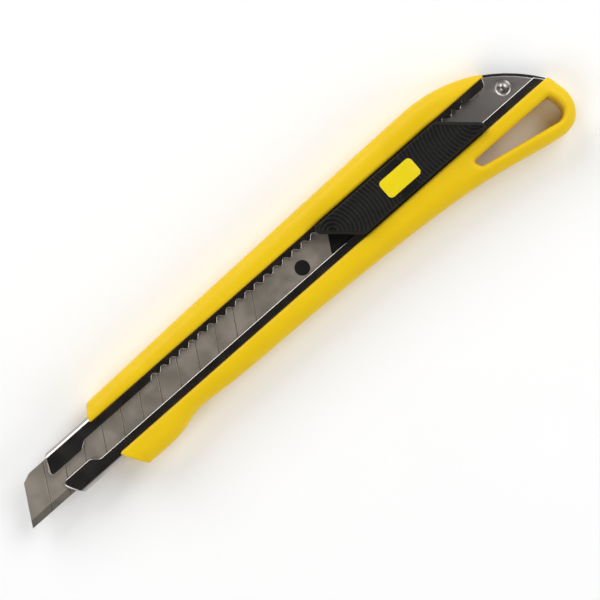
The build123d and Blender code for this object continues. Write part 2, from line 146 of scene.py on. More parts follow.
def rounded(corners: list[Point], radii: list[float], steps: int = 8) -> Array:
    """Join corners by straight runs with an arc of its own radius at each inner corner.

    Args:
        corners: The corners, in order; the ends stay where they are.
        radii: One radius for each corner but the first and last.
        steps: Points on each arc.

    Returns:
        The polyline.
    """
    pts = np.array(corners, float)
    parts = [pts[:1]]
    for before, here, after, radius in zip(pts[:-2], pts[1:-1], pts[2:], radii):
        back = (before - here) / np.linalg.norm(before - here)
        on = (after - here) / np.linalg.norm(after - here)
        half = math.acos(float(np.clip(back @ on, -1, 1))) / 2
        centre = here + (back + on) / np.linalg.norm(back + on) * radius / math.sin(half)
        first, last = here + back * radius / math.tan(half), here + on * radius / math.tan(half)
        share = np.linspace(0, 1, steps)[:, None]
        chord = first + (last - first) * share - centre
        parts.append(centre + chord / np.linalg.norm(chord, axis=1)[:, None] * radius)
    return np.concatenate(parts + [pts[-1:]])


def distance_to(line: Array, points: Array) -> Array:
    """Measure how far points are from a polyline: the least distance to any of its runs.

    Args:
        line: The polyline's points.
        points: An array of points, any shape ending in 2.

    Returns:
        The distances, in the points' own shape.
    """
    flat = points.reshape(-1, 1, 2)
    start, run = line[None, :-1], (line[1:] - line[:-1])[None]
    length = np.maximum((run * run).sum(-1), 1e-12)
    share = np.clip(((flat - start) * run).sum(-1) / length, 0, 1)
    gap = flat - start - share[..., None] * run
    return np.sqrt((gap * gap).sum(-1).min(1)).reshape(points.shape[:-1])


def shoulder(distance: Array, width: float, drop: float) -> Array:
    """Fall of a rounded edge: a quarter ellipse, nothing at the width and the drop at the edge.

    Args:
        distance: Distances in from the edge.
        width: Where the rounding starts.
        drop: How far it falls at the edge.

    Returns:
        The fall at each distance.
    """
    share = np.clip(1 - distance / width, 0, 1)
    return drop * (1 - np.sqrt(1 - share * share))


def gathered(count: int) -> Array:
    """Shares from 0 to 1 gathered at 0: one less the cosine of even angles to a right angle."""
    return 1 - np.cos(np.linspace(0, math.pi / 2, count + 1))


# ---- From patches to meshes ----------------------------------------------------------------

class Shell:
    """Patches of one piece, each a grid of points, that are welded into one mesh."""

    def __init__(self) -> None:
        """Start with no patch."""
        self.points: list[Array] = []
        self.quads: list[Array] = []
        self.count = 0

    def patch(self, grid: Array, closed: bool = False) -> None:
        """Add a grid of points, joined to its neighbours row by row and column by column.

        Args:
            grid: Points as rows by columns by 3.
            closed: Whether the last column joins the first.
        """
        rows, cols = grid.shape[:2]
        row, col = np.meshgrid(np.arange(rows - 1), np.arange(cols if closed else cols - 1), indexing="ij")
        near, far = row * cols, (row + 1) * cols
        on = (col + 1) % cols
        quads = np.stack([near + col, far + col, far + on, near + on], -1).reshape(-1, 4)
        self.points.append(grid.reshape(-1, 3))
        self.quads.append(quads + self.count)
        self.count += rows * cols

    def wall(self, upper: Array, lower: Array) -> None:
        """Add the strip between two lines of points, one above the other."""
        self.patch(np.stack([upper, lower]))

    def fan(self, ring: Array, centre: Array) -> None:
        """Close a ring of points by triangles to a centre."""
        self.patch(np.stack([ring, np.broadcast_to(centre, ring.shape)]), closed=True)

    def mesh(self, name: str) -> bpy.types.Mesh:
        """Weld the patches: points that round to the same place become one.

        Args:
            name: The mesh's name.

        Returns:
            The mesh in metres, its faces pointing outwards.
        """
        points, quads = np.concatenate(self.points), np.concatenate(self.quads)
        _, first, same = np.unique(
            np.round(points / WELD).astype(np.int64), axis=0, return_index=True, return_inverse=True
        )
        quads = same.reshape(-1)[quads]
        shifted = np.roll(quads, -1, axis=1)
        repeat = quads == shifted
        whole = quads[repeat.sum(1) == 0]
        whole = whole[(whole[:, 0] != whole[:, 2]) & (whole[:, 1] != whole[:, 3])]
        single = repeat.sum(1) == 1
        turn = (np.argmax(repeat[single], axis=1)[:, None] + 1 + np.arange(3)) % 4
        corners = np.take_along_axis(quads[single], turn, axis=1)
        corners = corners[(corners[:, 0] != corners[:, 2])]
        mesh = bpy.data.meshes.new(name)
        mesh.from_pydata((points[first] * MM).tolist(), [], whole.tolist() + corners.tolist())
        work = bmesh.new()
        work.from_mesh(mesh)
        bmesh.ops.recalc_face_normals(work, faces=work.faces[:])
        if work.calc_volume(signed=True) < 0:
            bmesh.ops.reverse_faces(work, faces=work.faces[:])
        work.to_mesh(mesh)
        work.free()
        return mesh


def prism(outline: Array, low: float, high: float) -> Shell:
    """Carry a plan outline straight up: two fans and a wall round them.

    Args:
        outline: The closed outline's points, without the first repeated.
        low: Height of the underside.
        high: Height of the top.

    Returns:
        The closed shell.
    """
    shell = Shell()
    lower, upper = (np.column_stack([outline, np.full(len(outline), z)]) for z in (low, high))
    shell.patch(np.stack([lower, upper]), closed=True)
    shell.fan(lower, lower.mean(0))
    shell.fan(upper, upper.mean(0))
    return shell


def block(low: tuple[float, float, float], high: tuple[float, float, float]) -> Shell:
    """A plain block from its lowest corner to its highest, used as a cutter."""
    (x0, y0, z0), (x1, y1, z1) = low, high
    return prism(np.array([(x0, y0), (x1, y0), (x1, y1), (x0, y1)]), z0, z1)


def piece(name: str, mesh: bpy.types.Mesh, crease: float = 32.0) -> bpy.types.Object:
    """Put a mesh in the scene with smooth faces, sharp only where they meet steeply.

    Args:
        name: The piece's name.
        mesh: Its mesh, in metres in the knife's frame.
        crease: The angle in degrees above which an edge is sharp.

    Returns:
        The new object, at the origin.
    """
    mesh.shade_smooth()
    mesh.set_sharp_from_angle(angle=math.radians(crease))
    made = bpy.data.objects.new(name, mesh)
    bpy.context.scene.collection.objects.link(made)
    return made


def carve(name: str, mesh: bpy.types.Mesh, cutters: list[Shell]) -> bpy.types.Mesh:
    """Take cutters out of a mesh, one after the other.

    Args:
        name: Name of the mesh that is left.
        mesh: The mesh to cut.
        cutters: Closed shells to take away.

    Returns:
        The cut mesh.
    """
    scene = bpy.context.scene
    body = bpy.data.objects.new(name + "_uncut", mesh)
    scene.collection.objects.link(body)
    tools = []
    for index, cutter in enumerate(cutters):
        tool = bpy.data.objects.new(f"{name}_cutter_{index}", cutter.mesh(f"{name}_cutter_{index}"))
        scene.collection.objects.link(tool)
        cut = body.modifiers.new(f"cut_{index}", "BOOLEAN")
        cut.operation, cut.solver, cut.object = "DIFFERENCE", "EXACT", tool
        tools.append(tool)
    seen = body.evaluated_get(bpy.context.evaluated_depsgraph_get())
    left = bpy.data.meshes.new_from_object(seen)
    left.name = name
    for spare in [body, *tools]:
        old = spare.data
        bpy.data.objects.remove(spare)
        bpy.data.meshes.remove(old)
    return left


# ---- Finishes ------------------------------------------------------------------------------

class Lay(Enum):
    """Which way the fine lines of a metal run: scale of the pattern along X, Y and Z."""

    ALONG = (60.0, 2600.0, 2600.0)
    ACROSS = (2600.0, 90.0, 2600.0)
    NONE = (500.0, 500.0, 500.0)


class Nodes:
    """A material's node tree with short ways to add and join nodes."""

    def __init__(self, name: str) -> None:
        """Start a material with a shader and Object coordinates.

        Args:
            name: The material's name.
        """
        self.material = bpy.data.materials.new(name)
        self.material.use_nodes = True
        self.tree = self.material.node_tree
        self.shader = self.tree.nodes["Principled BSDF"]
        self.place = self.tree.nodes.new("ShaderNodeTexCoord").outputs["Object"]

    def add(self, kind: str, **values: object) -> bpy.types.Node:
        """Add a node and set its options.

        Args:
            kind: The node's type.
            **values: Options by attribute name.

        Returns:
            The node.
        """
        node = self.tree.nodes.new(kind)
        for key, value in values.items():
            setattr(node, key, value)
        return node

    def join(self, source: bpy.types.NodeSocket, target: bpy.types.NodeSocket) -> None:
        """Link an output to an input."""
        self.tree.links.new(source, target)

    def scaled(self, scale: tuple[float, float, float]) -> bpy.types.NodeSocket:
        """Object coordinates stretched by a scale on each axis.

        Args:
            scale: Cycles per metre on X, Y and Z.

        Returns:
            The stretched coordinates.
        """
        node = self.add("ShaderNodeMapping")
        node.inputs["Scale"].default_value = scale
        self.join(self.place, node.inputs["Vector"])
        return node.outputs["Vector"]

    def noise(self, scale: tuple[float, float, float], detail: float = 3.0) -> bpy.types.NodeSocket:
        """Cloudy noise from 0 to 1 on stretched Object coordinates.

        Args:
            scale: Cells per metre on each axis.
            detail: How many finer layers are added.

        Returns:
            The noise value's socket.
        """
        node = self.add("ShaderNodeTexNoise")
        node.inputs["Scale"].default_value = 1.0
        node.inputs["Detail"].default_value = detail
        self.join(self.scaled(scale), node.inputs["Vector"])
        return node.outputs["Fac"]

    def ranged(
        self, source: bpy.types.NodeSocket, low: float, high: float, to_low: float, to_high: float,
    ) -> bpy.types.NodeSocket:
        """Carry a value from one range to another, clamped.

        Args:
            source: The value.
            low: Start of its range.
            high: End of its range.
            to_low: What the start becomes.
            to_high: What the end becomes.

        Returns:
            The new value's socket.
        """
        node = self.add("ShaderNodeMapRange", interpolation_type="SMOOTHSTEP")
        for slot, value in zip(("From Min", "From Max", "To Min", "To Max"), (low, high, to_low, to_high)):
            node.inputs[slot].default_value = value
        self.join(source, node.inputs["Value"])
        return node.outputs["Result"]

    def maths(self, operation: str, first: object, second: object) -> bpy.types.NodeSocket:
        """Join two sockets or numbers by one arithmetic step.

        Args:
            operation: The step's name.
            first: A socket or a number.
            second: A socket or a number.

        Returns:
            The result.
        """
        step = self.add("ShaderNodeMath", operation=operation)
        for place, value in enumerate((first, second)):
            if isinstance(value, bpy.types.NodeSocket):
                self.join(value, step.inputs[place])
            else:
                step.inputs[place].default_value = value
        return step.outputs[0]

    def axis(self, name: str) -> bpy.types.NodeSocket:
        """One axis of the Object coordinates, X, Y or Z.

        Args:
            name: The axis, X, Y or Z.

        Returns:
            The coordinate along it, in metres.
        """
        node = self.add("ShaderNodeSeparateXYZ")
        self.join(self.place, node.inputs["Vector"])
        return node.outputs[name]

    def mixed(self, share: bpy.types.NodeSocket, first: Colour, second: Colour) -> bpy.types.NodeSocket:
        """Mix two colours by a share.

        Args:
            share: How much of the second colour, from 0 to 1.
            first: The colour at 0.
            second: The colour at 1.

        Returns:
            The mixed colour.
        """
        node = self.add("ShaderNodeMix", data_type="RGBA")
        node.inputs[6].default_value, node.inputs[7].default_value = first, second
        self.join(share, node.inputs[0])
        return node.outputs[2]

    def bump(self, parts: list[tuple[bpy.types.NodeSocket, float]]) -> None:
        """Raise the surface by heights in millimetres, one after another.

        Args:
            parts: Height sockets with the millimetres that a value of 1 stands for.
        """
        normal = None
        for source, height in parts:
            node = self.add("ShaderNodeBump")
            node.inputs["Distance"].default_value = height * MM
            self.join(source, node.inputs["Height"])
            if normal is not None:
                self.join(normal, node.inputs["Normal"])
            normal = node.outputs["Normal"]
        self.join(normal, self.shader.inputs["Normal"])


@dataclass(frozen=True)
class Plastic:
    """A moulded plastic: two close tones in soft clouds, fine spark grain and faint rubbing."""

    name: str
    tone: Colour
    deep_tone: Colour
    roughness: tuple[float, float] = (0.34, 0.46)
    grain_cell: float = 0.22
    grain_height: float = 0.012
    cloud_cell: float = 14.0
    sheen_level: float = 0.5

    def make(self) -> bpy.types.Material:
        """Build the material.

        Returns:
            The material.
        """
        nodes = Nodes(self.name)
        cloud = nodes.noise((1000 / self.cloud_cell,) * 3, 4.0)
        rub = nodes.noise((1000 / 5.0, 1000 / 1.6, 1000 / 1.6), 5.0)
        grain = nodes.noise((1000 / self.grain_cell,) * 3, 2.0)
        nodes.join(nodes.mixed(nodes.ranged(cloud, 0.35, 0.65, 0, 1), self.tone, self.deep_tone),
                   nodes.shader.inputs["Base Color"])
        low, high = self.roughness
        nodes.join(nodes.ranged(rub, 0.35, 0.68, low, high), nodes.shader.inputs["Roughness"])
        nodes.shader.inputs["Specular IOR Level"].default_value = self.sheen_level
        nodes.bump([(grain, self.grain_height), (rub, self.grain_height)])
        return nodes.material


@dataclass(frozen=True)
class Steel:
    """Sheet or spring steel: fine drawn lines and soft smudges."""

    name: str
    tone: Colour
    deep_tone: Colour
    roughness: tuple[float, float]
    lay: Lay = Lay.ALONG
    line_height: float = 0.004
    smudge_cell: float = 4.0
    rough_below: float | None = None
    roughening: float = 0.16

    def make(self) -> bpy.types.Material:
        """Build the material.

        Returns:
            The material.
        """
        nodes = Nodes(self.name)
        lines = nodes.noise(self.lay.value, 2.0)
        smudge = nodes.noise((1000 / self.smudge_cell,) * 3, 5.0)
        nodes.join(nodes.mixed(nodes.ranged(smudge, 0.32, 0.7, 0, 1), self.tone, self.deep_tone),
                   nodes.shader.inputs["Base Color"])
        low, high = self.roughness
        rough = nodes.ranged(smudge, 0.3, 0.7, low, high)
        if self.rough_below is not None:
            level = self.rough_below * MM
            floor = nodes.ranged(nodes.axis("Z"), level - 0.1 * MM, level, self.roughening, 0)
            rough = nodes.maths("ADD", rough, floor)
        nodes.join(rough, nodes.shader.inputs["Roughness"])
        nodes.shader.inputs["Metallic"].default_value = 1.0
        nodes.bump([(lines, self.line_height)])
        return nodes.material


@dataclass(frozen=True)
class BladeSteel:
    """Ground blade steel: satin face, and a bevel with grinding lines across the edge."""

    name: str
    face_tone: Colour
    bevel_tone: Colour
    corner: Point
    bevel_width: float = 1.42
    tip_segment: float = 5.3
    score_pitch: float = 5.08
    score_half: float = 0.13
    last_score: float = -15.5
    cut_angle: float = 60.0
    # how strongly, and towards what tint, the score grooves are darkened: painted shade
    score_shade_strength: float = 0.72
    score_rough: float = 0.3
    score_shade_tint: Colour = (0.3, 0.28, 0.25, 1)
    roughness: tuple[float, float] = (0.42, 0.52)

    def score_mask(self, nodes: Nodes) -> bpy.types.NodeSocket:
        """One on the slanted score lines, nought elsewhere.

        The distance along the blade, less Y times the slope, is folded at the pitch and compared
        with the line's half width.

        Args:
            nodes: The material's nodes.

        Returns:
            The mask.
        """
        slope = 1 / math.tan(math.radians(self.cut_angle))
        leaned = nodes.maths("MULTIPLY", nodes.axis("Y"), slope)
        along = nodes.maths("SUBTRACT", nodes.axis("X"), leaned)
        first_score = self.corner[0] - self.corner[1] * slope + self.tip_segment
        start = nodes.maths("SUBTRACT", along, first_score * MM)
        near = nodes.maths("PINGPONG", start, self.score_pitch / 2 * MM)
        line = nodes.ranged(near, 0.4 * self.score_half * MM, self.score_half * MM, 1, 0)
        ahead = nodes.ranged(start, -1.0 * MM, -0.9 * MM, 0, 1)
        behind = nodes.ranged(along, self.last_score * MM, (self.last_score + 0.1) * MM, 1, 0)
        return nodes.maths("MULTIPLY", line, nodes.maths("MULTIPLY", ahead, behind))

    def make(self) -> bpy.types.Material:
        """Build the material: the tone changes at the bevel's upper line, and the score lines are darkened
        as painted shade in their grooves.

        Returns:
            The material.
        """
        nodes = Nodes(self.name)
        height = nodes.axis("Y")
        edge = (self.corner[1] + self.bevel_width) * MM
        bevel = nodes.ranged(height, edge - 0.04 * MM, edge + 0.04 * MM, 1, 0)
        across = nodes.noise(Lay.ACROSS.value, 2.0)
        along = nodes.noise((120.0, 1500.0, 1500.0), 3.0)
        smudge = nodes.noise((240.0, 240.0, 240.0), 5.0)
        mix = nodes.add("ShaderNodeMix", data_type="FLOAT")
        nodes.join(bevel, mix.inputs[0])
        nodes.join(along, mix.inputs[2])
        nodes.join(across, mix.inputs[3])
        tone = nodes.mixed(bevel, self.face_tone, self.bevel_tone)
        dull = nodes.add("ShaderNodeMix", data_type="RGBA", blend_type="MULTIPLY")
        nodes.join(tone, dull.inputs[6])
        shade = nodes.ranged(smudge, 0.3, 0.7, 0.94, 1.0)
        nodes.join(shade, dull.inputs[7])
        dull.inputs[0].default_value = 1.0
        score = self.score_mask(nodes)
        # painted shade: the score grooves are darkened towards the score tint, standing for the shade that
        # falls in them
        groove_shaded = nodes.add("ShaderNodeMix", data_type="RGBA", blend_type="MULTIPLY")
        nodes.join(nodes.maths("MULTIPLY", score, self.score_shade_strength), groove_shaded.inputs[0])
        nodes.join(dull.outputs[2], groove_shaded.inputs[6])
        groove_shaded.inputs[7].default_value = self.score_shade_tint
        nodes.join(groove_shaded.outputs[2], nodes.shader.inputs["Base Color"])
        low, high = self.roughness
        rough = nodes.ranged(smudge, 0.3, 0.7, low, high)
        rougher = nodes.maths("MULTIPLY", score, self.score_rough)
        nodes.join(nodes.maths("ADD", rough, rougher), nodes.shader.inputs["Roughness"])
        nodes.shader.inputs["Metallic"].default_value = 1.0
        nodes.bump([(mix.outputs[0], 0.004)])
        return nodes.material


def dress(thing: bpy.types.Object, material: bpy.types.Material) -> None:
    """Give an object one material in all its slots.

    Args:
        thing: The object.
        material: Its finish.
    """
    if not thing.material_slots:
        thing.data.materials.append(material)
    for slot in thing.material_slots:
        slot.material = material


# ---- The handle ----------------------------------------------------------------------------

@dataclass
class Handle:
    """The yellow moulding: two crowned rails, the slot between them and the hang loop.

    Its plan is laid out in strips. One runs along the upper rail and one along the slot, one
    along the lower rail as far as the hang hole, and one turns round the hole.
    """

    crown_width: float = 3.2
    crown_drop: float = 2.5
    brink: Point = (0.7, 0.55)
    hole_mouth: Point = (1.25, 1.2)
    nose_edge: Point = (0.35, 0.35)
    back_edge: float = 1.0
    split_level: float = 5.5
    slot_half: float = 4.36
    rail_tip_x: float = 47.7
    tail_radius: float = 32.0
    tail_centre: Point = (31.15, -22.39)
    front_stations: int = 140
    upper_front: tuple[Point, ...] = ((-58.72, 4.36), (-56.65, 7.78))
    upper_points: tuple[Point, ...] = (
        (-55.6, 7.85), (-34.8, 8.4), (-15.2, 8.83), (4.3, 9.19), (23.9, 9.55),
    )
    lower_front: tuple[Point, ...] = ((-58.22, -4.36), (-55.1, -9.82))
    swell_points: tuple[Point, ...] = (
        (-53.9, -9.82), (-48.6, -9.78), (-45.2, -9.36), (-41.6, -8.36), (-34.8, -8.36),
        (-15.2, -8.95), (4.3, -9.62), (23.9, -10.82), (34.7, -12.12), (43.4, -13.78),
        (49.6, -15.05), (53.2, -15.43),
    )
    loop_points: tuple[Point, ...] = (
        (58.12, -6.2), (58.6, -8.6), (58.42, -11.2), (57.3, -13.5), (55.5, -14.95),
    )
    hole_corners: tuple[Point, ...] = (
        (55.15, -7.34), (56.12, -9.9), (55.5, -13.22), (35.62, -9.3), (34.66, -7.34),
    )
    hole_back: float = 0.7
    band_fill: float = 0.92
    trough_play: float = 0.02
    trough_bend: float = 0.9
    cap_gap: float = 0.06
    cut_end: float = 62.0
    room_front: float = 43.94
    socket_end: float = 50.0
    socket_half: float = 3.46
    socket_levels: tuple[float, float] = (0.44, 2.26)

    def __post_init__(self) -> None:
        """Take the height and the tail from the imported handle, and lay out the edge lines."""
        _, high = box_mm("handle")
        self.height = float(high[2])
        self.tail_x = float(high[0])
        self._edge_lines()

    def _edge_lines(self) -> None:
        """Work out the long edges, the front edges, the tail arc and the hole's outline."""
        half, (cx, cy), radius = self.slot_half, self.tail_centre, self.tail_radius
        tip_y = cy + math.sqrt(radius**2 - (self.rail_tip_x - cx)**2)
        top = cy + radius
        crest = spline([*self.upper_points, (cx, top)], 160, (1.0, 0.02), (1.0, 0.0))
        turn = np.linspace(math.pi / 2, math.atan2(tip_y - cy, self.rail_tip_x - cx), 40)[1:]
        arc = np.stack([cx + radius * np.cos(turn), cy + radius * np.sin(turn)], -1)
        nose = rounded([self.upper_front[0], self.upper_front[1], tuple(crest[1])], [0.7])[1:-1]
        self.upper_out = np.concatenate([nose, crest[2:], arc])
        arc_end = (cx + math.sqrt(radius**2 - (half + cy)**2), -half)
        slope = np.array([-half - cy, cx - arc_end[0]]) / radius
        keel = spline(self.swell_points, 260, (1.0, 0.0), (1.0, 0.03))
        nose = rounded([self.lower_front[0], self.lower_front[1], tuple(keel[1])], [0.9])[1:-1]
        self.lower_out = np.concatenate([nose, keel[2:]])
        self.tail_out = spline([arc_end, *self.loop_points, self.swell_points[-1]], 120,
                               tuple(slope), (-1.0, -0.03))
        left = self.hole_corners[-1]
        ring = rounded([(45.0, left[1]), *self.hole_corners, (45.0, left[1])],
                       [0.9, 6.0, 2.4, 0.55, 0.55], 14)
        ring = resample(ring, np.linspace(0, 1, 500))
        start = int(np.argmin(ring[:, 0]))
        self.hole = np.roll(ring[:-1], -start, axis=0)
        self.hole = np.concatenate([self.hole, self.hole[:1]])
        upper_tip = self._along(self.upper_front)
        lower_tip = self._along(self.lower_front)
        self.upper_slot = rounded([upper_tip, self.upper_front[0], (self.rail_tip_x, half)], [0.3], 6)[1:]
        self.lower_slot = rounded([lower_tip, self.lower_front[0], arc_end], [0.35], 6)[1:]
        self.arc_end = arc_end

    @staticmethod
    def _along(front: tuple[Point, ...]) -> Point:
        """A point part of the way up a slanted front edge."""
        (x0, y0), (x1, y1) = front
        return x0 + 0.45 * (x1 - x0), y0 + 0.45 * (y1 - y0)

    def _stations(self, line: Array, until_x: float) -> Array:
        """Points along a line from the front to a given X, closer at both ends.

        Args:
            line: A line that runs from the front to the tail.
            until_x: Where to stop.

        Returns:
            The points.
        """
        stop = int(np.searchsorted(line[:, 0], until_x))
        end = np.array([[until_x, np.interp(until_x, line[:, 0], line[:, 1])]])
        part = np.concatenate([line[:stop], end])
        length = np.linalg.norm(np.diff(part, axis=0), axis=1).sum()
        near = 1.4 * gathered(10)
        far = length - 3.0 * gathered(16)[::-1]
        middle = np.linspace(1.4, length - 3.0, self.front_stations + 2)[1:-1]
        return resample(part, np.concatenate([near, middle, far]) / length)

    def _shares(self, width: Array, first: float, last: float, counts: tuple[int, int, int]) -> Array:
        """Shares across a strip, gathered at both sides within the widths of their rounds.

        Args:
            width: The strip's width at each station.
            first: Width of the round on the first side.
            last: Width of the round on the last side.
            counts: Steps in the first round, the middle and the last round.

        Returns:
            Shares from 0 to 1, stations by lines.
        """
        fit = np.minimum(1, 0.92 * width / (first + last))
        near, far = fit * first / width, 1 - fit * last / width
        start = gathered(counts[0])[None, :] * near[:, None]
        stop = 1 - gathered(counts[2])[None, ::-1] * (1 - far)[:, None]
        middle = near[:, None] + (far - near)[:, None] * np.linspace(0, 1, counts[1] + 1)[None, 1:-1]
        return np.concatenate([start, middle, stop], axis=1)

    @staticmethod
    def _between(first: Array, last: Array, shares: Array) -> Array:
        """Straight lines from one curve's stations to the other's, divided at the shares."""
        return first[:, None] + (last - first)[:, None] * shares[..., None]

    def _front(self, plan: Array) -> Array:
        """Fall towards the slanted noses of the rails.

        Args:
            plan: Points in plan.

        Returns:
            The fall at each point.
        """
        near = np.minimum(
            distance_to(np.array([self.upper_front[0], self.upper_front[1]]), plan),
            distance_to(np.array([self.lower_front[0], self.lower_front[1]]), plan),
        )
        return shoulder(near, *self.nose_edge)

    def top(self, plan: Array) -> Array:
        """Height of the face over the plan: the full height less the fall at each kind of edge.

        Args:
            plan: Points in plan.

        Returns:
            The points with their heights.
        """
        outline = np.concatenate([self.upper_out[::3], self.upper_out[-1:]])
        lower = np.concatenate([self.lower_out[::3], self.lower_out[-1:]])
        out = np.minimum(distance_to(outline, plan), distance_to(lower, plan))
        out = np.minimum(out, distance_to(self.tail_out[::2], plan))
        slot = np.minimum(distance_to(self.upper_slot, plan), distance_to(self.lower_slot, plan))
        ring = distance_to(self.hole[::3], plan)
        fall = shoulder(out, self.crown_width, self.crown_drop) + shoulder(slot, *self.brink)
        z = self.height - fall - shoulder(ring, *self.hole_mouth) - self._front(plan)
        return np.concatenate([plan, z[..., None]], -1)

    def back(self, plan: Array) -> Array:
        """Height of the back over the plan: flat, rising in a quarter round at the outline.

        Args:
            plan: Points in plan.

        Returns:
            The points with their heights.
        """
        outline = np.concatenate([self.upper_out[::3], self.upper_out[-1:]])
        lower = np.concatenate([self.lower_out[::3], self.lower_out[-1:]])
        out = np.minimum(distance_to(outline, plan), distance_to(lower, plan))
        out = np.minimum(out, distance_to(self.tail_out[::2], plan))
        rise = shoulder(out, self.back_edge, self.back_edge)
        ring = shoulder(distance_to(self.hole[::3], plan), self.hole_back, self.hole_back)
        z = rise + ring + self._front(plan)
        return np.concatenate([plan, z[..., None]], -1)

    def at(self, plan: Array, level: float) -> Array:
        """The plan's points at one level."""
        return np.concatenate([plan, np.full(plan.shape[:-1] + (1,), level)], -1)

    def shell(self) -> Shell:
        """Lay out the strips, give them their heights and join them by walls.

        Returns:
            The handle as one closed shell.
        """
        cut_x = float(self.hole[0, 0])
        tail_steps = 60
        ease = np.linspace(0, 1, tail_steps + 1)[1:, None]
        # slot edges: the same number of stations above and below
        up_front = self._stations(self.upper_slot, cut_x)
        low_front = self._stations(self.lower_slot, cut_x)
        rail_tip = np.array([self.rail_tip_x, self.slot_half])
        up_slot = np.concatenate([up_front, up_front[-1] + ease * (rail_tip - up_front[-1])])
        low_tail = low_front[-1] + ease * (np.array(self.arc_end) - low_front[-1])
        low_slot = np.concatenate([low_front, low_tail])
        # upper rail
        up_out_front = self._stations(self.upper_out, cut_x)
        rest = self.upper_out[np.searchsorted(self.upper_out[:, 0], cut_x):]
        rest = np.concatenate([up_out_front[-1:], rest])
        up_out = np.concatenate([up_out_front, resample(rest, ease[:, 0])])
        width = np.linalg.norm(up_out - up_slot, axis=1)
        rail_shares = self._shares(width, self.brink[0], self.crown_width, (6, 5, 14))
        rail = self._between(up_slot, up_out, rail_shares)
        # slot floor, its end following the tail's arc
        y_share = np.linspace(0, 1, 9)
        floor = self._between(up_slot, low_slot, np.broadcast_to(y_share, (len(up_slot), 9)))
        ys = self.slot_half * (1 - 2 * y_share)
        cx, cy = self.tail_centre
        end_x = cx + np.sqrt(self.tail_radius**2 - (ys - cy)**2)
        end_x[0] = self.rail_tip_x
        span = end_x - cut_x
        floor[-tail_steps:, :, 0] = cut_x + ease * span[None]
        # band round the hole
        ring_shares, outer = self._band_lines(low_tail, low_front[-1])
        inner = resample(self.hole, ring_shares)
        reach = np.linalg.norm(outer - inner, axis=1)
        n_slot = len(low_tail) + 1
        outer_round = np.where(np.arange(len(outer)) < n_slot, self.brink[0], self.crown_width)
        widening = smooth_step(np.arange(n_slot), n_slot - 9, n_slot)
        outer_round[:n_slot] += (self.crown_width - self.brink[0]) * widening
        shares = self._band_shares(reach, outer_round)
        band = self._between(inner, outer, shares)
        # lower rail up to the hole, its last station shared with the band's two ends
        low_out = self._stations(self.lower_out, cut_x)
        lines = band.shape[1] * 2 - 1
        width = np.linalg.norm(low_out - low_front, axis=1)
        own = self._shares(width, self.brink[0], self.crown_width, (12, lines - 1 - 24, 12))
        last = np.concatenate([band[0, ::-1], band[-1, 1:]])
        last_share = (last[:, 1] - low_front[-1, 1]) / (low_out[-1, 1] - low_front[-1, 1])
        blend = smooth_step(low_front[:, 0], cut_x - 14.0, cut_x)[:, None]
        keel = self._between(low_front, low_out, own * (1 - blend) + last_share[None] * blend)
        keel[-1] = last
        return self._closed(rail, floor, keel, band, n_slot)

    def _band_lines(self, low_tail: Array, corner: Array) -> tuple[Array, Array]:
        """Pair places round the hole with places on the slot's edge, the tail and the keel.

        Args:
            low_tail: Stations of the slot's lower edge beyond the hole's left end.
            corner: The station at the hole's left end.

        Returns:
            Shares of the hole's ring, and the outer points.
        """
        slot = np.concatenate([corner[None], low_tail])
        cut_x = float(corner[0])
        back = self.lower_out[self.lower_out[:, 0] > cut_x]
        start_y = np.interp(cut_x, self.lower_out[:, 0], self.lower_out[:, 1])
        back = np.concatenate([[[cut_x, start_y]], back])[::-1]
        turn_steps, back_steps = 54, 76
        tail = resample(self.tail_out, np.linspace(0, 1, turn_steps + 1))[1:]
        home = back_steps - np.arange(1, back_steps + 1)
        home_share = 1 - home / back_steps
        keel = resample(back, home_share)
        run = np.concatenate([[0], np.cumsum(np.linalg.norm(np.diff(self.hole, axis=0), axis=1))])
        upper = run[int(np.argmin(np.linalg.norm(self.hole - np.array([55.0, -7.4]), axis=1)))] / run[-1]
        lower = run[int(np.argmin(np.linalg.norm(self.hole - np.array([53.2, -12.85]), axis=1)))] / run[-1]
        shares = np.concatenate([
            upper * np.linspace(0, 1, len(slot)),
            upper + (lower - upper) * np.linspace(0, 1, turn_steps + 1)[1:],
            lower + (1 - lower) * home_share,
        ])
        return shares, np.concatenate([slot, tail, keel])

    def _band_shares(self, reach: Array, outer_round: Array) -> Array:
        """Shares across the band, from the hole's edge out to the far edge.

        Args:
            reach: Width of the band at each station.
            outer_round: Width of the rounding at the far edge.

        Returns:
            The shares, a row for each station.
        """
        first = self.hole_mouth[0]
        fit = np.minimum(1, self.band_fill * reach / (first + outer_round))
        near, far = fit * first / reach, 1 - fit * outer_round / reach
        start = gathered(7)[None] * near[:, None]
        stop = 1 - gathered(12)[None, ::-1] * (1 - far)[:, None]
        middle = near[:, None] + (far - near)[:, None] * np.linspace(0, 1, 4)[None, 1:-1]
        return np.concatenate([start, middle, stop], axis=1)

    def _closed(self, rail: Array, floor: Array, keel: Array, band: Array, n_slot: int) -> Shell:
        """Join the strips' faces, backs, slot and outer walls into one closed shell.

        Args:
            rail: Plan of the upper rail, slot edge first.
            floor: Plan of the slot's floor, upper side first.
            keel: Plan of the lower rail up to the hole, slot edge first.
            band: Plan of the band round the hole, hole first.
            n_slot: How many of the band's stations lie along the slot.

        Returns:
            The closed shell.
        """
        shell, level = Shell(), self.split_level
        for plan in (rail, keel, band):
            shell.patch(self.top(plan))
        for plan in (rail, floor, keel, band):
            shell.patch(self.back(plan))
        shell.patch(self.at(floor, level))
        low_slot = np.concatenate([keel[:, 0], band[1:n_slot, -1]])
        for line in (rail[:, 0], low_slot):
            shell.wall(self.top(line), self.at(line, level))
        outline = [rail[:, -1], rail[0], rail[-1], keel[:, -1], keel[0], band[n_slot - 1:, -1]]
        for line in outline:
            shell.wall(self.top(line), self.at(line, level))
            shell.wall(self.at(line, level), self.back(line))
        for line in (floor[0], floor[-1]):
            shell.wall(self.at(line, level), self.back(line))
        hole = band[:, 0]
        shell.wall(self.top(hole), self.back(hole))
        return shell

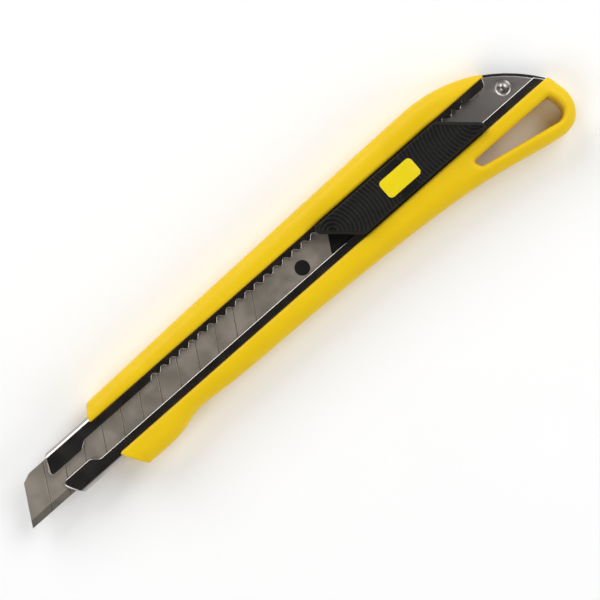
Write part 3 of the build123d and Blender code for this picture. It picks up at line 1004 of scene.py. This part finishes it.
    def cutters(self) -> list[Shell]:
        """The trough that holds the channel, the room for the cap and the cap's socket.

        Returns:
            The three closed shells.
        """
        low, high = box_mm("blade_channel")
        play = self.trough_play
        half = float(high[1]) + play
        under, over = float(low[2]) - play, float(high[2]) + play
        ring = rounded(
            [(0, under), (half, under), (half, over), (-half, over), (-half, under), (0, under)],
            [self.trough_bend] * 4, 6,
        )[:-1]
        trough = Shell()
        lengths = np.array([-self.cut_end, self.cut_end])
        grid = np.stack([np.column_stack([np.full(len(ring), x), ring]) for x in lengths])
        trough.patch(grid, closed=True)
        for end in grid:
            trough.fan(end, end.mean(0))
        cap_low, cap_high = box_mm("snapper_cap")
        gap = self.cap_gap
        side_low, side_high = -self.slot_half - 0.005, float(cap_high[1]) + gap
        room = block(
            (self.room_front, side_low, -1.0), (self.cut_end, side_high, float(cap_high[2]) + gap),
        )
        half, (under, over) = self.socket_half, self.socket_levels
        socket = block((float(cap_low[0]) - gap, -half, under), (self.socket_end, half, over))
        return [trough, room, socket]

    def build(self, finish: bpy.types.Material) -> bpy.types.Object:
        """Make the handle, ride it on its body and dress it.

        Args:
            finish: The yellow plastic.

        Returns:
            The handle.
        """
        whole = self.shell().mesh("handle_whole")
        made = piece("handle_moulding", carve("handle_moulding", whole, self.cutters()))
        dress(made, finish)
        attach(made, "handle")
        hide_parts("handle")
        return made


# ---- The steel channel and its rivet --------------------------------------------------------

@dataclass
class Channel:
    """The folded steel channel: one sheet bent up on both sides, its lips facing each other.

    The sheet's cross-section is followed as a run from the middle of the floor to a lip's edge,
    and the edge's place along that run changes with X: lobes at the nose, then the rack.
    """

    sheet: float = 0.5
    bend: float = 0.95
    nose_line: tuple[Point, ...] = (
        (-5.35, -68.8), (-4.3, -69.73), (-3.4, -70.45), (-2.6, -70.88), (-1.8, -70.9),
        (2.3, -71.72), (5.35, -69.85),
    )
    nose_blend: float = 7.0
    lobe_gap: float = 1.12
    lobe_rounds: Point = (1.0, 0.95)
    lobe_end: float = -63.95
    lobe_ease: float = 2.4
    upper_gap: float = 2.34
    lower_gap: float = 2.5
    rack_pitch: float = 2.54
    rack_lean: float = 0.56
    rack_depth: float = 1.1
    rack_soft: float = 0.58
    rack_spare: float = 0.36
    rack_notches: tuple[int, int] = (-25, 8)
    lip_stop: float = 46.2
    lip_stop_round: float = 1.15
    tail_radius: float = 31.5
    tail_centre: Point = (31.15, -22.39)
    tail_blend_from: float = 30.0
    dish: tuple[float, float, float] = (1.02, 1.72, 0.26)

    def __post_init__(self) -> None:
        """Take the channel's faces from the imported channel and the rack's zero from the spring."""
        low, high = box_mm("blade_channel")
        self.half = float(high[1]) - self.sheet / 2
        self.floor_mid = float(low[2]) + self.sheet / 2
        self.lip_mid = float(high[2]) - self.sheet / 2
        self.nose_x = float(low[0])
        spring_low, spring_high = box_mm("lock_spring")
        self.nib_x = float(spring_low[0] + spring_high[0]) / 2
        self.flat = self.half - self.bend
        self.quarter = self.bend * math.pi / 2
        self.wall = self.lip_mid - self.floor_mid - 2 * self.bend
        self.bends_end = self.flat + 2 * self.quarter + self.wall

    def fold(self, run: Array) -> tuple[Array, Array, Array]:
        """Follow the sheet's middle: straight floor, quarter turn, wall, quarter turn, lip.

        Args:
            run: Distances along the sheet from the middle of the floor.

        Returns:
            Y, Z and the angle that the sheet has turned through.
        """
        first = np.clip((run - self.flat) / self.bend, 0, math.pi / 2)
        rise = np.clip(run - self.flat - self.quarter, 0, self.wall)
        second = np.clip((run - self.flat - self.quarter - self.wall) / self.bend, 0, math.pi / 2)
        lip = np.maximum(run - self.bends_end, 0)
        y = np.minimum(run, self.flat) + self.bend * (np.sin(first) - 1 + np.cos(second)) - lip
        z = self.floor_mid + self.bend * (1 - np.cos(first) + np.sin(second)) + rise
        return y, z, first + second

    def rack_wave(self, x: Array) -> Array:
        """The rack's edge: a leaning saw wave, softened by its mean over a short stretch.

        Args:
            x: Places along the channel.

        Returns:
            The edge's distance from the middle.
        """
        offsets = np.linspace(-self.rack_soft, self.rack_soft, 9)[:, None]
        phase = np.mod((x + offsets - self.nib_x) / self.rack_pitch + self.rack_lean, 1)
        saw = np.where(phase < self.rack_lean, phase / self.rack_lean, (1 - phase) / (1 - self.rack_lean))
        swing = self.rack_depth + 2 * self.rack_spare
        wave = self.upper_gap - self.rack_spare + swing * saw.mean(0)
        first = self.nib_x + (self.rack_notches[0] - self.rack_lean) * self.rack_pitch
        last = self.nib_x + (self.rack_notches[1] + 1 - self.rack_lean) * self.rack_pitch
        return np.where((x > first) & (x < last), np.maximum(wave, self.upper_gap), self.upper_gap)

    def gap(self, x: Array, side: int) -> Array:
        """Distance of a lip's edge from the middle: rounded lobe, ease, then rack or straight.

        Args:
            x: Places along the channel.
            side: 1 for the upper lip, -1 for the lower.

        Returns:
            The distances.
        """
        front = float(np.interp(side * self.upper_gap, *np.array(self.nose_line).T))
        corner = self.lobe_rounds[1 if side > 0 else 0]
        share = np.clip((front + corner - x) / corner, 0, 1)
        lobe = self.lobe_gap + corner * (1 - np.sqrt(1 - share * share))
        ease = smooth_step(x, self.lobe_end, self.lobe_end + self.lobe_ease)
        far = self.rack_wave(x) if side > 0 else np.full_like(x, self.lower_gap)
        return lobe * (1 - ease) + far * ease

    def stations(self) -> tuple[Array, Array]:
        """Places along the channel and the sheet's half thickness there, closing at both ends.

        Returns:
            The places and the half thicknesses.
        """
        half = self.sheet / 2
        turn = np.linspace(0, math.pi / 2, 6)
        tail_x = self.tail_end(np.array(-self.half))
        start = self.nose_x + half * (1 - np.cos(turn))
        stop = tail_x - half * (1 - np.cos(turn[::-1]))
        rack_from = self.nib_x + (self.rack_notches[0] - 1) * self.rack_pitch
        nose = np.arange(start[-1] + 0.2, self.lobe_end + self.lobe_ease + 1, 0.22)
        plain = np.arange(nose[-1] + 0.8, rack_from, 0.8)
        rack = np.arange(rack_from, stop[0] - 0.1, self.rack_pitch / 12)
        x = np.concatenate([start, nose, plain, rack, stop])
        ends = half * np.sin(turn)
        thick = np.concatenate([ends, np.full(len(x) - 12, half), ends[::-1]])
        return x, thick

    def tail_end(self, y: Array) -> Array:
        """X of the tail's arc at a Y."""
        cx, cy = self.tail_centre
        return cx + np.sqrt(self.tail_radius**2 - (y - cy)**2)

    def lip_end(self, y: Array) -> Array:
        """X where the upper lip stops: short at its edge, swelling out in a quarter ellipse."""
        share = np.clip((y - self.upper_gap) / (self.flat - self.upper_gap), 0, 1)
        return self.lip_stop + self.lip_stop_round * np.sqrt(1 - (1 - share) ** 2)

    def placed(self, x: Array, y: Array, end: Array) -> Array:
        """Slide places along the channel so that the nose is a chevron and the tail follows a line.

        Args:
            x: Even places along the channel.
            y: The sheet's plain Y there.
            end: X where the sheet stops at that Y.

        Returns:
            X of each point.
        """
        nose = np.interp(y, *np.array(self.nose_line).T) - self.nose_x
        near = 1 - smooth_step(x, self.nose_x, self.nose_x + self.nose_blend)
        last = self.tail_end(np.array(-self.half))
        share = np.clip((x - self.tail_blend_from) / (last - self.tail_blend_from), 0, 1)
        return x + nose * near + (end - last) * share

    def side(self, x: Array, thick: Array, side: int) -> Array:
        """One side of every section: outer face to the edge, round the edge, inner face back.

        Args:
            x: Stations along the channel.
            thick: Half thickness at each.
            side: 1 for the upper side, -1 for the lower.

        Returns:
            Points as stations by places round the section by 3.
        """
        half = self.sheet / 2
        plain_gap = self.upper_gap if side > 0 else self.lower_gap
        edge_y = np.full_like(x, side * plain_gap)
        edge_x = self.placed(x, edge_y, self.lip_end(edge_y) if side > 0 else self.tail_end(edge_y))
        reach = self.bends_end + self.flat - self.gap(edge_x, side)
        body = np.concatenate([
            [0, 1.6, 3.2], self.flat + self.quarter * np.linspace(0, 1, 7),
            self.flat + self.quarter + self.wall + self.quarter * np.linspace(0, 1, 9),
        ])
        lip_share = np.array([0.2, 0.4, 0.55, 0.7, 0.8, 0.88, 0.94, 0.98, 1.0])
        stop = (reach - half)[:, None]
        run_body = np.minimum(body[None], stop)
        run_lip = np.minimum(self.bends_end, stop) + np.maximum(stop - self.bends_end, 0) * lip_share
        run = np.concatenate([run_body, run_lip], axis=1)
        plain = np.concatenate([body, self.bends_end + (self.flat - plain_gap) * lip_share])
        plain_y = side * self.fold(plain)[0]
        end = self.tail_end(plain_y)
        if side > 0:
            end = np.where(plain > self.bends_end, self.lip_end(plain_y), end)
        y, z, turn = self.fold(run)
        lift = np.linspace(0, math.pi, 9)[None, 1:-1]
        rim_y, rim_z, rim_turn = (np.repeat(part[:, -1:], 7, axis=1) for part in (y, z, turn))
        outward = math.pi / 2
        angle = np.concatenate(
            [turn - outward, rim_turn - outward + lift, turn[:, ::-1] + outward], axis=1,
        )
        mid_y = np.concatenate([y, rim_y, y[:, ::-1]], axis=1)
        mid_z = np.concatenate([z, rim_z, z[:, ::-1]], axis=1)
        across = np.concatenate([plain_y, np.repeat(plain_y[-1:], 7), plain_y[::-1]])
        stop_x = np.concatenate([end, np.repeat(end[-1:], 7), end[::-1]])
        at_x = self.placed(x[:, None], across[None], stop_x[None])
        off = thick[:, None]
        out_y, out_z = mid_y + off * np.cos(angle), mid_z + off * np.sin(angle)
        points = np.stack([at_x, side * out_y, out_z], -1)
        return points if side > 0 else points[:, ::-1]

    def dish_cutter(self, rivet_x: float) -> Shell:
        """The sunk ring round the rivet: an eased step turned about the rivet's axis.

        Args:
            rivet_x: Where the rivet stands along X.

        Returns:
            The closed shell to cut with.
        """
        inner, outer, depth = self.dish
        top = self.floor_mid + self.sheet / 2
        share = np.linspace(0, 1, 9)
        radius = np.concatenate([[0], inner + (outer - inner) * share, [outer + 0.02, 0]])
        rise = depth * share * share * (3 - 2 * share) - depth
        height = top + np.concatenate([[-depth], rise, [0.4, 0.4]])
        return turned(radius, height, rivet_x, 0.0)

    def build(self, finish: bpy.types.Material) -> bpy.types.Object:
        """Make the channel, sink the dish for the rivet, ride it and dress it.

        Args:
            finish: The material it is dressed in.

        Returns:
            The channel's object.
        """
        x, thick = self.stations()
        shell = Shell()
        grid = np.concatenate([self.side(x, thick, 1), self.side(x, thick, -1)], axis=1)
        shell.patch(grid, closed=True)
        low, high = box_mm("channel_rivet")
        whole = shell.mesh("channel_whole")
        dish = self.dish_cutter(float(low[0] + high[0]) / 2)
        made = piece("steel_channel", carve("steel_channel", whole, [dish]), 40)
        dress(made, finish)
        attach(made, "handle")
        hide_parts("blade_channel")
        return made


def turned(radius: Array, height: Array, x: float, y: float, steps: int = 64) -> Shell:
    """Turn a profile about an upright axis: circles of each radius at each height.

    Args:
        radius: Radii along the profile; the ends are zero, which closes it.
        height: Heights along the profile.
        x: The axis's X.
        y: The axis's Y.
        steps: How many places round.

    Returns:
        The closed shell.
    """
    angle = np.linspace(0, 2 * math.pi, steps, endpoint=False)[None]
    reach, level = radius[:, None], np.broadcast_to(height[:, None], (len(height), steps))
    shell = Shell()
    shell.patch(np.stack([x + reach * np.cos(angle), y + reach * np.sin(angle), level], -1), closed=True)
    return shell


@dataclass
class Rivet:
    """The rivet that holds the channel down: a domed head with a rolled rim, and its shank."""

    shank: float = 0.75
    rim: float = 0.12
    seat_drop: float = 0.75
    dome_foot: float = 0.22

    def build(self, finish: bpy.types.Material) -> bpy.types.Object:
        """Turn the rivet's profile, ride it and dress it.

        Args:
            finish: The material it is dressed in.

        Returns:
            The rivet's object.
        """
        low, high = box_mm("channel_rivet")
        radius, top = float(high[0] - low[0]) / 2, float(high[2])
        seat = top - self.seat_drop
        angle = np.linspace(0, math.pi / 2, 15)
        dome_r = (radius - self.rim) * np.sin(angle) ** 0.85
        foot = self.dome_foot
        dome_z = seat + foot + (top - seat - foot) * np.cos(angle) ** 0.9
        roll = np.linspace(math.pi / 2, -math.pi / 2, 7)
        rim_r = radius - self.rim + self.rim * np.cos(roll)
        rim_z = seat + self.rim + self.rim * np.sin(roll)
        r = np.concatenate([dome_r, rim_r, [self.shank, self.shank, 0]])
        z = np.concatenate([dome_z, rim_z, [seat, float(low[2]), float(low[2])]])
        shell = turned(r, z, float(low[0] + high[0]) / 2, 0.0)
        made = piece("rivet_head", shell.mesh("rivet_head"), 50)
        dress(made, finish)
        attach(made, "handle")
        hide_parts("channel_rivet")
        return made


# ---- The thumb pad and its label -------------------------------------------------------------

@dataclass
class ThumbPad:
    """The black thumb pad: a leaning plate hollowed along its length, ribbed at both ends."""

    length: float = 42.9
    slant: float = 8.6
    dip: float = 0.8
    top: float = 10.94
    corner_round: float = 0.95
    facet: Point = (0.68, 0.42)
    edge: Point = (0.3, 0.3)
    rib_pitch: float = 0.836
    rib_depth: float = 0.34
    band: Point = (19.2, 23.6)
    front_centre: Point = (3.8, 0.65)
    rear_centre: Point = (40.6, -0.7)
    label_half: Point = (4.2, 2.1)
    label_round: float = 0.9
    pocket: tuple[Point, Point] = ((8.05, -2.95), (33.05, 1.85))
    side_band: float = 0.9
    end_share: float = 0.03
    label_sink: float = 0.17
    foot_height: float = 0.12
    foot_scale: tuple[float, float] = (0.996, 0.97)
    pocket_top: float = 8.88

    def __post_init__(self) -> None:
        """Take the pad's width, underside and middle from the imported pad."""
        low, high = box_mm("thumb_pad")
        self.half_width = float(high[1] - low[1]) / 2
        self.under = float(low[2])
        self.middle = float(low[0] + high[0]) / 2
        w, run = self.half_width, self.length / 2
        right = [(0, -w), (run, -w), (run - self.slant, w), (0, w)]
        self.right = rounded(right, [self.corner_round, self.corner_round], 16)[1:-1]

    def reach(self, y: Array) -> tuple[Array, Array]:
        """Where the pad starts and stops at each Y, its ends being alike by a half turn.

        Args:
            y: Places across the pad.

        Returns:
            The X of the front and of the rear.
        """
        stop = np.interp(y, self.right[:, 1], self.right[:, 0])
        start = -np.interp(-y, self.right[:, 1], self.right[:, 0])
        return self.middle + start, self.middle + stop

    def plan(self) -> Array:
        """The pad's plan as rows across and columns along, closer at the edges.

        Returns:
            The plan's points.
        """
        side = self.half_width
        near = self.side_band * gathered(9)
        inner = side - self.side_band
        y = np.concatenate([-side + near, np.linspace(-inner, inner, 50)[1:-1], side - near[::-1]])
        start, stop = self.reach(y)
        end = self.end_share
        share = np.concatenate([
            end * gathered(9), np.linspace(end, 1 - end, 300)[1:-1], 1 - end * gathered(9)[::-1],
        ])
        x = start[:, None] + (stop - start)[:, None] * share[None]
        return np.stack([x, np.broadcast_to(y[:, None], x.shape)], -1)

    def on_label(self, plan: Array) -> Array:
        """How far inside the label's rounded rectangle a point is; outside is negative.

        Args:
            plan: Points in plan.

        Returns:
            The distance inside the label's edge.
        """
        offset = np.abs(plan - np.array([self.middle, 0.0]))
        past = offset - np.array(self.label_half) + self.label_round
        outside = np.linalg.norm(np.maximum(past, 0), axis=-1)
        return self.label_round - outside - np.minimum(past.max(-1), 0)

    def ribs(self, plan: Array) -> Array:
        """Depth of the grooves: rings about a point near each end, fading at band and label.

        Args:
            plan: Points in plan.

        Returns:
            The depth at each point.
        """
        x = plan[..., 0]
        middle = (self.band[0] + self.band[1]) / 2
        near = np.linalg.norm(plan - np.array(self.front_centre), axis=-1)
        far = np.linalg.norm(plan - np.array(self.rear_centre), axis=-1)
        ring = np.where(x < middle, near, far)
        wave = 0.5 + 0.5 * np.cos(2 * math.pi * ring / self.rib_pitch)
        inside = 1 - smooth_step(x, self.band[0] - 0.15, self.band[0] + 0.05)
        inside = inside + smooth_step(x, self.band[1] - 0.05, self.band[1] + 0.15)
        clear = smooth_step(-self.on_label(plan), 0.1, 0.4)
        return self.rib_depth * wave**1.2 * inside * clear

    def surface(self, plan: Array) -> Array:
        """Height of the face: hollow along X, less edge fall, less grooves, sunk for the label.

        Args:
            plan: Points in plan.

        Returns:
            The points with their heights.
        """
        share = (plan[..., 0] - self.middle) / (self.length / 2)
        z = self.top - self.dip * (1 - np.clip(share * share, 0, 1))
        ends = np.array([self.right[len(self.right) // 2 - 1], self.right[len(self.right) // 2]])
        ends = ends + np.array([self.middle, 0.0])
        tilt = ends[1] - ends[0]
        normal = np.array([tilt[1], -tilt[0]]) / np.linalg.norm(tilt)
        reach = np.abs((ends[0] - np.array([self.middle, 0.0])) @ normal)
        end_gap = reach - np.abs((plan - np.array([self.middle, 0.0])) @ normal)
        outline = np.concatenate([self.right, -self.right, self.right[:1]])
        outline = outline + np.array([self.middle, 0.0])
        gap = distance_to(outline, plan)
        facet = self.facet[1] * (1 - smooth_step(end_gap, 0.0, self.facet[0]))
        inside = smooth_step(gap, 0.12, 0.45)
        inside = inside * smooth_step(end_gap, self.facet[0], self.facet[0] + 0.15)
        rib = self.ribs(plan) * inside
        z = z - facet - shoulder(gap, *self.edge) - rib
        sunk = self.on_label(plan) > 0.1
        z = np.where(sunk, np.minimum(z, self.top - self.dip - self.label_sink), z)
        return np.concatenate([plan, z[..., None]], -1)

    def build(self, finish: bpy.types.Material) -> bpy.types.Object:
        """Make the pad, hollow its underside for the carriage's head, ride it and dress it.

        Args:
            finish: The material it is dressed in.

        Returns:
            The pad's object.
        """
        plan = self.plan()
        face = self.surface(plan)
        shell = Shell()
        shell.patch(face)
        ring = np.concatenate([face[0, :-1], face[:-1, -1], face[-1, :0:-1], face[:0:-1, 0]])
        low = ring.copy()
        low[:, 2] = self.under + self.foot_height
        centre = np.array([self.middle, 0.0])
        foot = low.copy()
        foot[:, :2] = centre + (ring[:, :2] - centre) * np.array(self.foot_scale)
        foot[:, 2] = self.under
        for upper, lower in ((ring, low), (low, foot)):
            shell.patch(np.stack([upper, lower]), closed=True)
        shell.fan(foot, np.array([self.middle, 0.0, self.under]))
        (x0, y0), (x1, y1) = self.pocket
        pocket = block((x0, y0, self.under - 1), (x1, y1, self.pocket_top))
        made = piece("thumb_slide", carve("thumb_slide", shell.mesh("pad_whole"), [pocket]), 48)
        dress(made, finish)
        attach(made, "pad")
        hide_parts("thumb_pad")
        return made


@dataclass
class PadLabel:
    """The yellow plate in the pad: a thin rounded rectangle with a softly rolled edge."""

    edge: float = 0.06
    corner: float = 0.9

    def build(self, finish: bpy.types.Material) -> bpy.types.Object:
        """Draw rings from the outline to the middle, over and under, ride it and dress it.

        Args:
            finish: The material it is dressed in.

        Returns:
            The label's object.
        """
        low, high = box_mm("pad_label")
        middle, half = (low + high) / 2, (high - low) / 2
        x, y = float(half[0]), float(half[1])
        corners = [(0.0, -y), (x, -y), (x, y), (-x, y), (-x, -y), (0.0, -y)]
        ring = rounded(corners, [self.corner] * 4, 10)[:-1]
        turn = np.linspace(0, math.pi / 2, 5)
        inset = np.concatenate([[x], self.edge * (1 - np.sin(turn))])
        level = np.concatenate([[0], -self.edge * (1 - np.cos(turn))]) + float(high[2])
        share = np.stack([np.clip(1 - inset / x, 0, 1), np.clip(1 - inset / y, 0, 1)], -1)
        upper = np.concatenate([
            middle[:2] + ring[None] * share[:, None],
            np.broadcast_to(level[:, None, None], (len(level), len(ring), 1)),
        ], -1)
        under = upper[-1].copy()
        under[:, 2] = float(low[2])
        shell = Shell()
        shell.patch(upper, closed=True)
        shell.patch(np.stack([upper[-1], under]), closed=True)
        shell.fan(under, np.array([middle[0], middle[1], float(low[2])]))
        made = piece("pad_plate", shell.mesh("pad_plate"), 40)
        dress(made, finish)
        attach(made, "pad")
        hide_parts("pad_label")
        return made


# ---- Studio and camera ---------------------------------------------------------------------

@dataclass(frozen=True)
class SoftBox:
    """A square soft light at a bearing in the view, measured from the view's right side."""

    name: str
    bearing: float
    rise: float
    distance: float
    side: float
    power: float


@dataclass
class Studio:
    """A pale floor, soft lights round the knife and a dim ceiling, seen from straight above."""

    look_at: tuple[float, float] = (-10.12, -5.16)
    view_right: Point = (0.7506, -0.6608)
    camera_height: float = 533.5
    lens: float = 155.4
    floor_side: float = 6.0
    boxes: tuple[SoftBox, ...] = (
        SoftBox("key_upper_left", 130.0, 36.0, 1.25, 0.8, 6.6),
        SoftBox("along_upper", 50.0, 48.0, 1.3, 0.8, 6.8),
        SoftBox("along_lower", 228.0, 50.0, 1.3, 0.7, 4.2),
        SoftBox("fill_right", 355.0, 30.0, 1.4, 0.7, 3.8),
    )

    def axes(self) -> tuple[Vector, Vector]:
        """The view's right and up directions on the floor."""
        right = Vector((self.view_right[0], self.view_right[1], 0)).normalized()
        return right, Vector((-right.y, right.x, 0))

    def floor(self) -> bpy.types.Object:
        """Lay the floor: a wide flat grid with a faint paper grain.

        Returns:
            The floor's object.
        """
        half = self.floor_side / 2 / MM
        side = np.linspace(-half, half, 9)
        x, y = np.meshgrid(side, side, indexing="ij")
        mesh = bpy.data.meshes.new("studio_floor")
        points = np.stack([x, y, np.zeros_like(x)], -1).reshape(-1, 3) * MM
        row, col = np.meshgrid(np.arange(8), np.arange(8), indexing="ij")
        near = row * 9 + col
        quads = np.stack([near, near + 9, near + 10, near + 1], -1).reshape(-1, 4)
        mesh.from_pydata(points.tolist(), [], quads.tolist())
        made = bpy.data.objects.new("studio_floor", mesh)
        bpy.context.scene.collection.objects.link(made)
        nodes = Nodes("floor_paper")
        grain = nodes.noise((30.0, 30.0, 30.0), 2.0)
        paper = nodes.mixed(grain, (0.93, 0.93, 0.93, 1), (0.95, 0.95, 0.95, 1))
        nodes.join(paper, nodes.shader.inputs["Base Color"])
        nodes.shader.inputs["Roughness"].default_value = 0.9
        nodes.shader.inputs["Specular IOR Level"].default_value = 0.1
        dress(made, nodes.material)
        return made

    def lights(self) -> None:
        """Hang the soft boxes, each turned to face the knife."""
        right, up = self.axes()
        target = Vector((self.look_at[0] * MM, self.look_at[1] * MM, 0.0))
        for box in self.boxes:
            lamp = bpy.data.lights.new(box.name, "AREA")
            lamp.shape, lamp.size, lamp.energy = "SQUARE", box.side, box.power
            turn, rise = math.radians(box.bearing), math.radians(box.rise)
            flat = right * math.cos(turn) + up * math.sin(turn)
            away = flat * math.cos(rise) + Vector((0, 0, 1)) * math.sin(rise)
            holder = bpy.data.objects.new(box.name, lamp)
            holder.location = target + away * box.distance
            holder.rotation_euler = away.to_track_quat("Z", "Y").to_euler()
            bpy.context.scene.collection.objects.link(holder)

    def sky(self) -> None:
        """Give the room a dim ceiling and paler walls: the tone follows the height looked at."""
        world = bpy.data.worlds.new("room")
        bpy.context.scene.world = world
        world.use_nodes = True
        tree = world.node_tree
        place = tree.nodes.new("ShaderNodeTexCoord")
        parts = tree.nodes.new("ShaderNodeSeparateXYZ")
        ramp = tree.nodes.new("ShaderNodeValToRGB")
        ramp.color_ramp.interpolation = "EASE"
        first, last = ramp.color_ramp.elements
        first.position, first.color = 0.35, (1.0, 1.0, 1.0, 1)
        last.position, last.color = 0.86, (0.018, 0.018, 0.018, 1)
        tree.links.new(place.outputs["Generated"], parts.inputs["Vector"])
        tree.links.new(parts.outputs["Z"], ramp.inputs["Fac"])
        tree.links.new(ramp.outputs["Color"], tree.nodes["Background"].inputs["Color"])
        tree.nodes["Background"].inputs["Strength"].default_value = 0.8

    def camera(self) -> None:
        """Set the camera straight above, its right side along the view's right."""
        right, up = self.axes()
        lens = bpy.data.cameras.new("view_camera")
        lens.lens, lens.sensor_width, lens.clip_start = self.lens, 36.0, 0.01
        holder = bpy.data.objects.new("view_camera", lens)
        turn = Matrix((right, up, Vector((0, 0, 1)))).transposed()
        holder.rotation_euler = turn.to_euler()
        holder.location = (self.look_at[0] * MM, self.look_at[1] * MM, self.camera_height * MM)
        bpy.context.scene.collection.objects.link(holder)
        bpy.context.scene.camera = holder

    def build(self) -> None:
        """Set up the floor, lights, room and camera."""
        self.floor()
        self.lights()
        self.sky()
        self.camera()
        bpy.context.scene.view_settings.view_transform = "Standard"


# ---- The whole knife -----------------------------------------------------------------------

def finishes() -> dict[str, bpy.types.Material]:
    """Make each finish once.

    Returns:
        The materials by the name of the finish.
    """
    blade_low, _ = box_mm("snap_blade")
    channel_low, _ = box_mm("blade_channel")
    plans = (
        Plastic("yellow_plastic", (0.79, 0.53, 0.008, 1), (0.76, 0.50, 0.007, 1), sheen_level=0.16),
        Plastic("cap_plastic", (0.016, 0.015, 0.016, 1), (0.011, 0.011, 0.011, 1), (0.4, 0.52),
                sheen_level=0.3),
        Plastic("carriage_plastic", (0.007, 0.007, 0.007, 1), (0.005, 0.005, 0.005, 1), (0.38, 0.5),
                sheen_level=0.2),
        Plastic("pad_plastic", (0.009, 0.0085, 0.0075, 1), (0.007, 0.0066, 0.006, 1), (0.34, 0.46),
                sheen_level=0.2),
        Plastic("label_film", (0.84, 0.66, 0.01, 1), (0.8, 0.62, 0.01, 1), (0.25, 0.32), 0.5, 0.002),
        Steel("channel_steel", (0.46, 0.425, 0.405, 1), (0.40, 0.37, 0.352, 1), (0.16, 0.21),
              line_height=0.0015, rough_below=float(channel_low[2]) + CHANNEL_FLOOR),
        Steel("rivet_steel", (0.42, 0.40, 0.38, 1), (0.34, 0.325, 0.31, 1), (0.28, 0.38), Lay.NONE),
        Steel("spring_steel", (0.6, 0.58, 0.55, 1), (0.5, 0.48, 0.46, 1), (0.28, 0.36)),
        BladeSteel("blade_steel", (0.42, 0.372, 0.318, 1), (0.26, 0.232, 0.2, 1),
                   corner=(float(blade_low[0]), float(blade_low[1]))),
    )
    return {plan.name: plan.make() for plan in plans}


def main() -> None:
    """Build the knife piece by piece, then the studio."""
    logging.basicConfig(level=logging.INFO, format="%(message)s")
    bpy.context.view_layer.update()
    finish = finishes()
    kept = {
        "snapper_cap": "cap_plastic",
        "snap_blade": "blade_steel",
        "blade_carriage": "carriage_plastic",
        "lock_spring": "spring_steel",
    }
    for node, name in kept.items():
        dress(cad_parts[node], finish[name])
        log.info("dressed %s with %s", node, name)
    built = (
        Handle().build(finish["yellow_plastic"]),
        Channel().build(finish["channel_steel"]),
        Rivet().build(finish["rivet_steel"]),
        ThumbPad().build(finish["pad_plastic"]),
        PadLabel().build(finish["label_film"]),
    )
    for made in built:
        log.info("built %s with %d faces", made.name, len(made.data.polygons))
    Studio().build()


if __name__ == "__main__":
    main()
